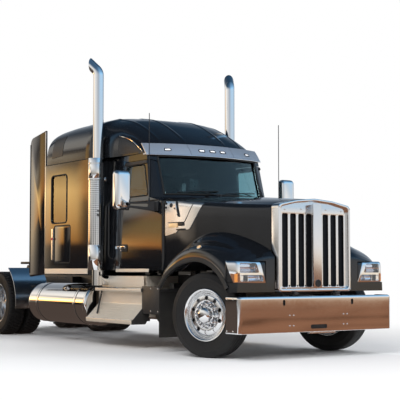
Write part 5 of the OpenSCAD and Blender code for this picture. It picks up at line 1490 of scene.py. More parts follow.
LAMP_FORM = [(LAMP_LOW, 0.008, 0.0), (LAMP_LOW + 0.002, 0.002, 0.0), (LAMP_LOW + 0.008, 0.0, 0.0), (1.14, 0.0, 0.0),
             (1.165, 0.0, 0.006), (1.18, 0.001, 0.014), (1.188, 0.004, 0.024), (LAMP_HIGH, 0.012, 0.034)]
UPPER = [(0.842, 1.048, 0.016), (1.118, 1.048, 0.016), (1.118, 1.164, 0.014), (0.884, 1.164, 0.026)]
LOWER = [(0.776, 0.945, 0.012), (1.112, 0.945, 0.012), (1.112, 1.022, 0.012), (0.8, 1.022, 0.012)]
INNER_SLANT = 0.32
OUTER_SLANT = [(0.152, 0.915), (0.3, 0.915), (0.3, 1.2), (0.258, 1.2)]


def lamp_holes():
    return [plate("lamp_hole", [rounded(UPPER)], 0.12, front_face(0.11)),
            plate("lamp_hole", [rounded(LOWER)], 0.06, front_face(0.09))]


def lamp_bezel():
    form = thicken(skin("bezel", lamp_rows(LAMP_FORM, INNER_SLANT), caps=False, sharp=35), 0.01)
    return cut(form, lamp_holes() + [prism("outer_slant", OUTER_SLANT, 1.1, 1.26)], sharp=35)


def lamp_tub():
    """The black tub that shows where the bright frame is cut away."""
    rows = lamp_rows([(z, s + 0.005, lean) for z, s, lean in LAMP_FORM[2:-1]])
    return cut(thicken(skin("tub", rows, caps=False, sharp=35), 0.004), lamp_holes(), sharp=35)


def trough(name, y0, y1, z, r, deep, d):
    """A half-round reflector that lies along the lamp."""
    rows = []
    for k in range(17):
        a = pi * k / 16
        rows.append([(x_of(d + deep * sin(a)), y0 + (y1 - y0) * i / 8, z + r * cos(a)) for i in range(9)])
    return skin(name, rows, sharp=50)


bowls = [trough("trough", 0.905, 1.114, 1.134, 0.028, 0.05, 0.128),
         trough("trough", 0.885, 1.114, 1.074, 0.026, 0.05, 0.112),
         trough("low_trough", 0.86, 1.108, 0.9825, 0.034, 0.03, 0.102),
         trough("side_trough", 0.775, 0.85, 0.9825, 0.034, 0.03, 0.102)]
bowl_at = front_face(0.135) @ Matrix.Translation((0.862, 1.1, 0))
bowls.append(spun("bowl", [(0.036, 0.02), (0.033, 0.0), (0.024, -0.018), (0.01, -0.026), (0, -0.027)],
                  bowl_at @ Matrix.Scale(1.5, 4, (0, 1, 0)), 32))
bowls.append(block("lamp_divider", 0.1, 0.128, 0.852, 0.858, 0.946, 1.019, 0.002))
backs = [block("lamp_back", 0.17, 0.18, 0.8, 1.13, 1.03, 1.18, 0.003),
         block("lamp_back", 0.135, 0.14, 0.76, 1.12, 0.935, 1.03, 0.003)]
shelf = block("lamp_shelf", 0.118, 0.165, 0.83, 1.118, 1.1015, 1.106, 0.001)
pair("headlamp_tubs", "bonnet_unit", "black_paint", [lamp_tub()])
pair("headlamp_frames", "bonnet_unit", "mirror_chrome", [lamp_bezel()], "headlamps")
pair("headlamp_bowls", "bonnet_unit", "lamp_bowl", bowls)
pair("headlamp_backs", "bonnet_unit", "lamp_bowl", backs)
pair("headlamp_shelves", "bonnet_unit", "amber_lens", [shelf])
panes = [plate("pane", [rounded(loop)], 0.004, front_face(d)) for loop, d in ((LOWER, 0.101), (UPPER, 0.112))]
pair("headlamp_panes", "bonnet_unit", "clear_lens", panes)
lens_line = [(d - 0.002, y) for d, y in lamp_line(0.0) if 0.12 < d < 0.16 and y > 1.1]
reflector = thicken(skin("side_reflector", [[(x_of(d), y + 0.003, z) for d, y in lens_line]
                                            for z in (0.936, 0.94, 0.99, 1.032, 1.036)]), 0.004)
pair("headlamp_reflectors", "bonnet_unit", "amber_lens", [reflector])
wing_lamp_at = frame_of((-1, 0, 0), Vector((0, -0.66, 0.75)), Vector((0, 0.75, 0.66)),
                        (x_of(0.88), 1.184, 1.366)) @ Matrix.Scale(1.7, 4, (1, 0, 0))
wing_lamp = spun("wing_lamp", [(0, 0.016), (0.014, 0.014), (0.022, 0.008), (0.024, 0.0)], wing_lamp_at, 28)
wing_rim = spun("wing_lamp_rim", [(0.024, 0.004), (0.029, 0.002), (0.031, -0.008), (0.024, -0.008)], wing_lamp_at, 28,
                True)
pair("wing_lamps", "bonnet_unit", "pale_lens", [wing_lamp])
pair("wing_lamp_rims", "bonnet_unit", "mirror_chrome", [wing_rim])
surround = block("lamp_surround", 0.255, 0.262, 0.74, 1.226, 0.928, 1.188, 0.002)
pair("headlamp_surrounds", "bonnet_unit", "black_paint", [surround])

# %% [markdown]
# ## Cowl panels
# Two polished panels lie on the flanks, just ahead of the doors, and fold a little over the shoulder. They
# follow the bonnet's own section, a few millimetres proud, and carry a marker lamp and the bonnet's latch.

# %% Cowl panels with lamp and latch
def flank_point(d, z, out):
    """A place on the bonnet's left flank or its shoulder, proud by out."""
    w, shoulder, r = (bonnet_at(d, k) for k in (1, 2, 5))
    base = shoulder - r
    if z <= base:
        return (x_of(d), w + out, z)
    a = min((z - base) / r, 1.3)
    return (x_of(d), w - r + (r + out) * cos(a), base + (r + out) * sin(a))


COWL_LOW = [(1.13, 1.915), (1.19, 1.84), (1.34, 1.64), (1.37, 1.612), (1.42, 1.6), (1.6, 1.6), (1.64, 1.567),
            (1.868, 1.53), (1.88, 1.534)]

rows = []
for d in np.linspace(1.13, 1.88, 76):
    low, high = float(np.interp(d, *zip(*COWL_LOW))), bonnet_at(d, 2) - 0.25 * bonnet_at(d, 5)
    rows.append([flank_point(d, low + (high - low) * k / 16, 0.011) for k in range(17)])
cowl = thicken(skin("cowl", rows, sharp=40), 0.009)
pair("cowl_bright", "bonnet_unit", "polished_alloy", [cowl], "cowl_panels")


def on_flank(points, out, n=10):
    path = []
    for p, q in zip(points[:-1], points[1:]):
        path += [flank_point(p[0] + (q[0] - p[0]) * k / n, p[1] + (q[1] - p[1]) * k / n, out) for k in range(n)]
    return path + [flank_point(*points[-1], out)]


def flank_box(d0, d1, z0, z1, proud):
    y = bonnet_at((d0 + d1) / 2, 1)
    return block("flank_box", d0, d1, y - 0.004, y + proud, z0, z1, 0.004)


GROOVE = [(1.302, 1.93), (1.45, 1.715), (1.475, 1.7), (1.813, 1.703)]
groove_line = tube("cowl_groove", on_flank(GROOVE, 0.01), 0.006, 8)
latch = tube("latch_strap", on_flank([(1.627, 1.965), (1.6, 1.86), (1.572, 1.777)], 0.018), 0.013, 12)
dark_bits = [groove_line, latch, flank_box(1.47, 1.598, 1.652, 1.698, 0.018),
             flank_box(1.45, 1.64, 1.596, 1.618, 0.02)]
for d, z, r in ((1.862, 1.958, 0.017), (1.862, 1.905, 0.015), (1.748, 1.93, 0.03), (1.66, 1.885, 0.014)):
    x, y, zz = flank_point(d, z, 0.01)
    dark_bits.append(spun("bump", [(0, 0.016), (r * 0.7, 0.013), (r, 0.004), (r, -0.004)],
                          frame_of((-1, 0, 0), (0, 0, 1), (0, 1, 0), (x, y, zz)), 20))
pair("cowl_fittings", "bonnet_unit", "dark_plastic", dark_bits)
handle_of_latch = [tube("latch_handle", on_flank([(1.618, 1.925), (1.607, 1.875)], 0.03), 0.008, 10),
                   flank_box(1.585, 1.602, 1.795, 1.83, 0.032)]
pair("cowl_latches", "bonnet_unit", "mirror_chrome", handle_of_latch)
pair("cowl_markers", "bonnet_unit", "pale_lens", [flank_box(1.602, 1.802, 1.634, 1.694, 0.02)])
print("cowl rows:", len(rows))

# %% [markdown]
# ## Mirrors
# A mirror's head is a soft-cornered box, fuller in front; the bright shell is a skin through five
# outlines and the glass closes its back. The arm is a flat plate with a long window.

# %% Mirrors
def head_outline(s, r):
    return oblong(1.295 + s, 1.535 - s, 1.89 + s, 2.42 - s, r, 7)


HEAD = [(2.33, 0.05, 0.035), (2.334, 0.034, 0.04), (2.345, 0.018, 0.045), (2.366, 0.006, 0.05), (2.395, 0.0, 0.055),
        (2.436, 0.002, 0.053), (2.444, 0.007, 0.048), (2.446, 0.014, 0.042)]
shell = skin("mirror_shell", [[(x_of(d), y, z) for y, z in head_outline(s, r)] for d, s, r in HEAD], loop=True,
             caps=True, sharp=40)
glass_pane = plate("mirror_pane", [head_outline(0.022, 0.036)], 0.003, front_face(2.4475))
FOOT, TIP_OF_ARM = Vector((x_of(2.125), 1.045, 0)), Vector((x_of(2.372), 1.345, 0))
run_of_arm = TIP_OF_ARM - FOOT
arm_long, way = run_of_arm.length, run_of_arm.normalized()
arm_at = frame_of(way, (0, 0, 1), way.cross(Vector((0, 0, 1))), FOOT)
ARM = rounded([(0.0, 1.865, 0.02), (0.0, 2.005, 0.015), (arm_long, 1.995, 0.02), (arm_long, 1.925, 0.02)], 6)
ARM_HOLE = rounded([(0.105, 1.925, 0.014), (0.105, 1.972, 0.014), (arm_long - 0.035, 1.972, 0.014),
                    (arm_long - 0.035, 1.948, 0.01)], 6)
arm_plate = plate("mirror_arm", [ARM, ARM_HOLE], 0.042, arm_at, 0.008, 3)
foot = block("mirror_foot", 2.045, 2.195, 1.0404, 1.07, 1.868, 2.0, 0.01, 3)
knuckle = spun("mirror_knuckle", [(0, 0.075), (0.022, 0.073), (0.026, 0.066), (0.026, -0.066), (0.022, -0.073),
                                  (0, -0.075)], Matrix.Translation((x_of(2.372), 1.345, 1.958)), 24)
each_side("mirror_shell_", "door_unit_", "mirror_chrome", [shell], "mirror_", sharp=40)
each_side("mirror_pane_", "door_unit_", "mirror_glass", [glass_pane])
each_side("mirror_arms_", "door_unit_", "dark_plastic", [arm_plate, foot, knuckle])
print("mirror arm length:", round(arm_long, 3))

# %% [markdown]
# ## Trim on the doors and the sides
# Small parts give the sides their scale: a shade strip over each door window, a bright handle in a dark
# cup, sill strips, grab rails, the aerials and the wipers. They are plates, tubes and blocks that sit on
# the skin they belong to, and those on a door swing with it.

# %% Door trim
def leaning_strip(name, loop, proud):
    """A thin plate that leans with the cab's upper wall; the loop is (d, z)."""
    obj = plate(name, [[(d, (z - BELT_Z) / cos(lean)) for d, z in loop]], proud,
                frame_of((-1, 0, 0), (0, 0, 1), (0, 1, 0), (FRONT, proud / 2, 0)), min(0.003, proud * 0.4))
    obj.data.transform(Matrix.Translation((0, 1.0, BELT_Z)) @ Matrix.Rotation(lean, 4, "X"))
    return obj


SHADE = rounded([(2.455, 2.548, 0.012), (2.47, 2.592, 0.02), (3.06, 2.592, 0.02), (3.06, 2.548, 0.012)])
shade_strip = leaning_strip("shade_strip", SHADE, 0.016)
seal_path = [(x_of(d), 1.001 - (z - BELT_Z) * tan(lean), z) for d, z in door_window(-0.003)]
window_seal = tube("window_seal", seal_path + seal_path[:2], 0.008, 8)
cup = plate("handle_cup", [oblong(2.88, 3.07, 1.335, 1.44, 0.022)], 0.01, side_face(1.043), 0.003)
grip = plate("door_grip", [oblong(2.905, 3.062, 1.374, 1.42, 0.018)], 0.022, side_face(1.058), 0.007, 3)
grip_end = spun("grip_end", [(0, 0.014), (0.01, 0.012), (0.014, 0.006), (0.014, 0.0)],
                side_face(1.047) @ Matrix.Translation((3.04, 1.354, 0)), 20)
belt = plate("belt_line", [[(2.05, 2.018), (3.06, 2.018), (3.06, 2.03), (2.05, 2.03)]], 0.006, side_face(1.041),
             0.002)
each_side("door_shades_", "door_unit_", "dark_plastic", [shade_strip, cup, belt])
each_side("door_seal_", "door_unit_", "black_rubber", [window_seal], sharp=50)
each_side("door_grips_", "door_unit_", "mirror_chrome", [grip, grip_end])
print("door trim made")

# %% Sills, grab rails and the sleeper's fittings
sill_strip = plate("sill_strip", [oblong(2.3, 3.19, 1.052, 1.098, 0.008)], 0.01, side_face(1.0455), 0.003)
riser = plate("sill_riser", [oblong(2.495, 3.66, 0.838, 0.996, 0.01)], 0.006, side_face(1.0), 0.002)
sleeper_sill = plate("sleeper_sill", [oblong(3.74, 5.13, 1.022, 1.1, 0.008)], 0.008, side_face(1.2035), 0.002)
pair("sill_strips", "chassis", "tread_alloy", [sill_strip, sleeper_sill])
pair("sill_risers", "chassis", "tread_alloy", [riser])


def grab_rail(d, y, z0, z1, r=0.014, off=0.055):
    """An upright rail on two bent feet."""
    pts = [(x_of(d), y, z0), (x_of(d), y + off * 0.75, z0 + 0.006), (x_of(d), y + off, z0 + 0.03)]
    pts += [(x_of(d), y + off, z0 + 0.03 + (z1 - z0 - 0.06) * k / 10) for k in range(1, 11)]
    pts += [(x_of(d), y + off * 0.75, z1 - 0.006), (x_of(d), y, z1)]
    return tube("grab_rail", pts, r, 12)


rail = grab_rail(3.315, 1.036, 1.25, 2.02)
feet = [spun("rail_foot", [(0, 0.01), (0.022, 0.008), (0.026, 0.003), (0.026, 0.0)],
             side_face(1.0395) @ Matrix.Translation((3.315, z, 0)), 24) for z in (1.25, 2.02)]
pair("grab_rails", "chassis", "black_paint", [rail] + feet)
lock_plate = plate("lock_plate", [oblong(3.105, 3.285, 1.378, 1.418, 0.01)], 0.008, side_face(1.0435), 0.002)
pair("lock_plates", "chassis", "mirror_chrome", [lock_plate])
pillar = plate("pillar_line", [[(3.118, 1.13), (3.128, 1.13), (3.128, 2.56), (3.118, 2.56)]], 0.004,
               side_face(1.0405), 0.0015)
plane_cut(pillar, (0, 0, 2.03), (0, 0, 1))
pair("pillar_lines", "chassis", "dark_plastic", [pillar])
latch_strip = plate("locker_latch", [oblong(4.846, 4.906, 1.225, 1.715, 0.02)], 0.012, side_face(1.2055), 0.004)
seam_edge = tube("seam_edge", [(x_of(d), 1.2005, 2.704) for d in np.linspace(3.74, 5.14, 15)], 0.006, 8)
pair("side_strips", "chassis", "polished_alloy", [latch_strip])
pair("roof_seams", "chassis", "black_rubber", [seam_edge])
side_lamp = spun("side_lamp", [(0, 0.014), (0.012, 0.012), (0.019, 0.006), (0.021, 0.0), (0.021, -0.004)],
                 side_face(1.2115) @ Matrix.Translation((4.876, 1.556, 0)), 24)
pair("side_lamps", "chassis", "red_lens", [side_lamp])
print("sills and rails made")

# %% Aerials and wipers
AERIAL_D, AERIAL_Y = 2.19, 1.06
mast = tube("aerial", [(x_of(AERIAL_D), AERIAL_Y + 0.05, z) for z in np.linspace(1.99, 3.2, 14)], 0.0055, 8)
mast_foot = spun("aerial_foot", [(0, 0.1), (0.01, 0.098), (0.012, 0.06), (0.018, 0.05), (0.02, 0.0), (0, 0)],
                 Matrix.Translation((x_of(AERIAL_D), AERIAL_Y + 0.05, 1.95)), 20)
mast_arm = tube("aerial_arm", [(x_of(AERIAL_D), AERIAL_Y - 0.018, 1.955), (x_of(AERIAL_D), AERIAL_Y + 0.02, 1.957),
                               (x_of(AERIAL_D), AERIAL_Y + 0.05, 1.96)], 0.01, 10)
each_side("aerials_", "door_unit_", "dark_plastic", [mast, mast_foot, mast_arm])


def wiper(y_pivot, y_tip, z_tip):
    """An arm from the cowl to its blade, which lies on the screen."""
    pivot = Vector(screen_point(y_pivot, SCREEN_LOW - 0.02, -0.035))
    tip = Vector(screen_point(y_tip, z_tip, -0.022))
    arm = tube("wiper_arm", [pivot.lerp(tip, k / 8) + Vector((0.012 * sin(pi * k / 8), 0, 0)) for k in range(9)],
               0.006, 8)
    blade = []
    for k in range(15):
        y = y_tip - 0.3 + 0.6 * k / 14
        blade.append(screen_point(y, z_tip - 0.02 + 0.03 * k / 14, -0.004))
    boss = spun("wiper_boss", [(0, 0.03), (0.016, 0.028), (0.022, 0.015), (0.022, -0.04)],
                frame_of((0, 1, 0), (0, 0, 1), (1, 0, 0), pivot), 18)
    return [arm, tube("wiper_blade", blade, 0.007, 8), boss]


dress(join("wipers", wiper(0.62, 0.34, SCREEN_LOW + 0.045) + wiper(-0.1, -0.38, SCREEN_LOW + 0.045)), "chassis",
      "dark_plastic")
print("wipers:", 2)

# %% [markdown]
# ## Inside the cab
# Through the glass show a dashboard with round dials, a steering wheel, two seats and the bunk. The hard
# parts are skins and spun forms. Each cushion starts as a slim block that is remeshed and blown up a
# little as cloth, so its faces crown and its sides pull in between the corners; its underside stays flat.

# %% Dashboard and steering wheel
DASH = rounded([(1.99, 1.785, 0.01), (2.2, 1.785, 0.05), (2.282, 1.965, 0.05), (2.06, 2.012, 0.04),
                (1.99, 1.968, 0.01)])
dash = plate("dash", [DASH], 1.66, side_face(0.0), 0.012, 3)
hood = plate("dial_hood", [rounded([(2.1, 1.985, 0.01), (2.285, 1.955, 0.01), (2.292, 1.985, 0.012),
                                    (2.14, 2.03, 0.03)])], 0.52, side_face(0.48), 0.008)
pedestal = block("dash_pedestal", 2.03, 2.2, -0.135, 0.135, 1.116, 1.8, 0.03, 3)
dress(join("dash_panel", [dash, hood, pedestal]), "chassis", "cab_trim", "dashboard")
dial_out = Vector((-0.19, 0, -0.08)).normalized()
dial_ring = spun("dial_ring", [(1.0, -0.05), (1.0, 0.16), (0.94, 0.2), (0.86, 0.1), (0.84, 0.02), (0, 0.02)],
                 steps=28)
spots = []
for y, z in ((0.38, 1.895), (0.58, 1.895), (0.27, 1.925), (0.27, 1.855), (0.69, 1.925), (0.69, 1.855), (0.1, 1.9),
             (-0.1, 1.9), (-0.48, 1.9), (-0.66, 1.9)):
    d = 2.2 + 0.082 * (z - 1.785) / 0.18 + 0.002
    spots.append(((x_of(d), y, z), dial_out, (0, 1, 0)))
dials = join("dash_dials", [stand("large_dials", dial_ring, spots[:2], "mirror_chrome", 0.062),
                            stand("small_dials", dial_ring, spots[2:], "mirror_chrome", 0.03)])
drop(dial_ring)
dress(dials, "chassis", "dark_plastic")
WHEEL_AT, WHEEL_TILT = Vector((x_of(2.39), 0.48, 1.985)), radians(50)
wheel_out = Vector((-cos(WHEEL_TILT), 0, sin(WHEEL_TILT)))
wheel_place = frame_of((0, 1, 0), wheel_out.cross(Vector((0, 1, 0))), wheel_out, WHEEL_AT)
ring = [wheel_place @ Vector((0.215 * cos(a), 0.215 * sin(a), 0)) for a in turns(60)]
wheel_parts = [tube("wheel_rim", ring + ring[:2], 0.016, 14)]
for a in (90, 210, 330):
    way = Vector((cos(radians(a)), sin(radians(a)), 0))
    wheel_parts.append(tube("wheel_spoke", [wheel_place @ (way * r + Vector((0, 0, -0.03 + 0.03 * r / 0.215)))
                                            for r in (0.03, 0.09, 0.15, 0.21)], 0.013, 10))
wheel_parts.append(spun("wheel_boss", [(0, 0.012), (0.05, 0.008), (0.066, -0.01), (0.06, -0.04), (0.03, -0.05),
                                       (0.028, -0.26), (0, -0.26)], wheel_place, 32))
dress(join("wheel_in_cab", wheel_parts, 40), "chassis", "dark_plastic", "steering_wheel")
print("dials:", len(spots))

# %% [markdown]
# The cushions and the mattress are cloth under a little pressure. How far a point may move is capped, so
# they keep the room that their solids hold; the sewn channels are pressed in afterwards.

# %% Seats and bunk
def plump(obj, voxel, cap, channels=(), pressure=4.0):
    """Blows a slim block up as cloth; channels are (axis, place, depth) of sewn lines."""
    modified(obj, "REMESH", mode="VOXEL", voxel_size=voxel)
    start = [v.co.copy() for v in obj.data.vertices]
    low = min(v.z for v in start)
    cloth = obj.modifiers.new("cloth", "CLOTH")
    cloth.settings.use_pressure = True
    cloth.settings.uniform_pressure_force = pressure
    cloth.settings.effector_weights.gravity = 0
    cloth.settings.quality = 4
    for f in range(1, 21):
        bpy.context.scene.frame_set(f)
    shown = obj.evaluated_get(bpy.context.evaluated_depsgraph_get())
    blown = [v.co.copy() for v in shown.data.vertices]
    obj.modifiers.clear()
    bpy.context.scene.frame_set(1)
    for v, a, b in zip(obj.data.vertices, start, blown):
        move = b - a
        v.co = a + move * min(1.0, cap / max(move.length, 1e-9))
        v.co.z = max(v.co.z, low)
    high = max(v.co.z for v in obj.data.vertices)
    for axis, place, depth in channels:
        for v in obj.data.vertices:
            if v.co.z > low + 0.4 * (high - low):
                v.co.z -= depth * exp(-((v.co[axis] - place) / 0.012) ** 2)
    return modified(obj, "SUBSURF", 80, levels=1, render_levels=1)


seat_base = plump(block("seat_pad", -0.265, 0.265, -0.235, 0.235, 0.0, 0.115, 0.03, 4), 0.01, 0.02,
                  [(1, -0.13, 0.01), (1, 0.13, 0.01), (0, FRONT - 0.06, 0.008)])
seat_base.data.transform(Matrix.Translation((x_of(3.005) - FRONT, 0.48, 1.472)))
back_rest = plump(block("seat_back", -0.335, 0.335, -0.235, 0.235, 0.0, 0.085, 0.03, 4), 0.01, 0.016,
                  [(1, -0.13, 0.008), (1, 0.13, 0.008), (0, FRONT + 0.12, 0.008)])
lean_back = atan2(0.68, 0.14)
back_rest.data.transform(Matrix.Translation((x_of(3.335), 0.48, 1.945)) @ Matrix.Rotation(lean_back - pi, 4, "Y")
                         @ Matrix.Translation((-FRONT, 0, -0.04)))
seat_shell = block("seat_pedestal", 2.8, 3.12, 0.3, 0.66, 1.1154, 1.462, 0.03, 3)
seat_tray = block("seat_tray", 2.735, 3.27, 0.245, 0.715, 1.452, 1.474, 0.012, 2)
for side in ("left", "right"):
    for part, name in ((seat_base, "seat_cushion_"), (back_rest, "seat_backrest_")):
        obj = copy_of(part, name + side) if side == "left" else twin(part, name + side)
        dress(obj, "chassis", "seat_cloth", *(["seats"] if (side, name) == ("left", "seat_cushion_") else []))
drop(seat_base, back_rest)
pair("seat_pedestals", "chassis", "cab_trim", [seat_shell, seat_tray])
bunk_box = block("bunk_box", 4.255, 5.09, -1.125, 1.125, 1.0565, 1.515, 0.015, 3)
dress(bunk_box, "chassis", "cab_trim", "bunk")
mattress = plump(block("bunk_mattress", 4.275, 5.07, -1.105, 1.105, 1.516, 1.66, 0.035, 4), 0.018, 0.02,
                 [(1, 0.0, 0.008), (1, -0.55, 0.008), (1, 0.55, 0.008)])
dress(mattress, "chassis", "seat_cloth")
print("padded pieces:", 5, "faces of a mattress:", len(mattress.data.polygons))

# %% [markdown]
# ## Running gear
# Frame, axles, springs, engine and coupling have the right shapes already. Each is copied from its solid,
# its loose triangles are merged into flat faces, and its edges are broken, as on rolled, cast and pressed
# steel. Rows of bolts go along the rails, and the tail lamps get round lenses in a dark housing.

# %% Softened copies of the solids
def softened(node_name, width):
    """A copy of a CAD solid with flat faces merged and its edges rounded."""
    obj = copy_of(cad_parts[node_name], node_name + "_soft")
    with editing(obj) as bm:
        bmesh.ops.remove_doubles(bm, verts=bm.verts, dist=2e-5)
        bmesh.ops.dissolve_limit(bm, angle_limit=radians(1.5), verts=bm.verts, edges=bm.edges)
    return bevel(obj, width, 2, 40)


GEAR = {"frame_rails": ("chassis", "chassis_paint", 0.004), "front_axle": ("chassis", "chassis_paint", 0.006),
        "front_springs": ("chassis", "chassis_paint", 0.004), "rear_suspension": ("chassis", "chassis_paint", 0.005),
        "coupling_mount": ("chassis", "chassis_paint", 0.002), "air_tanks": ("chassis", "chassis_paint", 0.004),
        "engine_block": ("chassis", "cast_iron", 0.008), "drive_line": ("chassis", "cast_iron", 0.004),
        "radiator": ("chassis", "core_fins", 0.004), "coupling_plate": ("coupling", "greased_iron", 0.003),
        "knuckle_left": ("steer_knuckle_left", "cast_iron", 0.003),
        "knuckle_right": ("steer_knuckle_right", "cast_iron", 0.003),
        "tie_rod": ("track_rod", "chassis_paint", 0.002)}
for node_name, (body, finish_name, width) in GEAR.items():
    dress(softened(node_name, width), body, finish_name, node_name)
print("softened solids:", len(GEAR))

# %% Bolts along the rails and tail lamps
RAIL_Y, RAIL_BACK = 0.43, 8.81
spots = [((x_of(d), s * RAIL_Y, z), (0, s, 0), AHEAD)
         for s in (1, -1) for d in np.arange(5.95, 8.75, 0.14) for z in (0.785, 0.955)]
bolts("rail_bolts", "chassis", "cast_iron", 0.012, 0.009, spots)
housing = block("tail_housing", RAIL_BACK + 0.0004, RAIL_BACK + 0.034, 0.152, 0.423, 0.797, 0.903, 0.012, 3)
pair("tail_housings", "chassis", "dark_plastic", [housing], "tail_lamps")
lens = spun("tail_lens", [(0, 0.011), (0.02, 0.01), (0.032, 0.006), (0.037, 0.0), (0.04, -0.004)], steps=32)
for name, finish_name, places in (("tail_lenses", "red_lens", (0.288, 0.376)),
                                  ("reverse_lenses", "lamp_glow", (0.2,))):
    lens_spots = [((x_of(RAIL_BACK + 0.034), s * y, 0.85), (-1, 0, 0), ACROSS) for s in (1, -1) for y in places]
    dress(stand(name, lens, lens_spots, finish_name), "chassis", finish_name)
drop(lens)
print("rail bolts:", len(spots))

# %% [markdown]
# ## Floor, light and what the polish reflects
# Black paint and chrome show little but their surroundings. The studio has a pale floor, a white world
# and three soft lamps. Round it stands a tent that only reflections see: an evening sky, gold low down
# behind the truck's right side and blue overhead, with brown and dark ground near the wheels.

# %% Floor, world and lamps
def floor_material():
    """Pale grey that fades to white for the camera, away from the part."""
    m = bpy.data.materials.new("studio_floor")
    m.use_nodes = True
    t = m.node_tree
    shader = t.nodes["Principled BSDF"]
    feed(t, shader, {"Base Color": (0.93, 0.93, 0.93, 1), "Roughness": 0.9})
    place = node(t, "ShaderNodeTexCoord").outputs["Object"]
    squeezed = node(t, "ShaderNodeVectorMath", {0: place, 1: (0.6, 1.0, 1.0)}, operation="MULTIPLY").outputs[0]
    away = node(t, "ShaderNodeVectorMath", {0: squeezed}, operation="LENGTH").outputs["Value"]
    fade = node(t, "ShaderNodeMapRange", {"From Min": 2.6, "From Max": 7.5, "Value": away},
                interpolation_type="SMOOTHSTEP").outputs[0]
    seen = math_node(t, "MULTIPLY", fade, node(t, "ShaderNodeLightPath").outputs["Is Camera Ray"])
    white = node(t, "ShaderNodeEmission").outputs[0]
    mix = node(t, "ShaderNodeMixShader", {0: seen, 1: shader.outputs[0], 2: white})
    feed(t, t.nodes["Material Output"], {"Surface": mix.outputs[0]})
    return m


floor = piece("studio_floor", [(-60, -60, 0), (60, -60, 0), (60, 60, 0), (-60, 60, 0)], [(0, 1, 2, 3)])
floor.data.materials.append(floor_material())

world = bpy.data.worlds.new("studio")
bpy.context.scene.world = world
world.use_nodes = True
wt = world.node_tree
rays = node(wt, "ShaderNodeLightPath").outputs
seen = math_node(wt, "MAXIMUM", rays["Is Camera Ray"], rays["Is Glossy Ray"])
seen = math_node(wt, "MAXIMUM", seen, rays["Is Transmission Ray"])
world_tone = node(wt, "ShaderNodeMix", {"Factor": seen, 6: (0.5, 0.51, 0.53, 1), 7: (1.0, 1.0, 1.0, 1)},
                  data_type="RGBA")
feed(wt, wt.nodes["Background"], {"Color": world_tone.outputs[2]})


def lamp(name, spot, target, size, power):
    data = bpy.data.lights.new(name, "AREA")
    data.shape = "RECTANGLE"
    data.size, data.size_y = size
    data.energy = power
    obj = in_scene(name, data)
    obj.location = spot
    obj.rotation_euler = (Vector(target) - Vector(spot)).to_track_quat("-Z", "Y").to_euler()
    obj.visible_camera = obj.visible_glossy = False
    return obj


lamp("key", (9, -9, 9), (1, 0, 1.5), (7, 5), 1000)
lamp("front", (12, 3, 5), (3, 0, 1.2), (5, 3), 300)
lamp("rear", (-10, 4, 8), (-2, 0, 1.5), (6, 4), 600)
print("lamps:", 3)

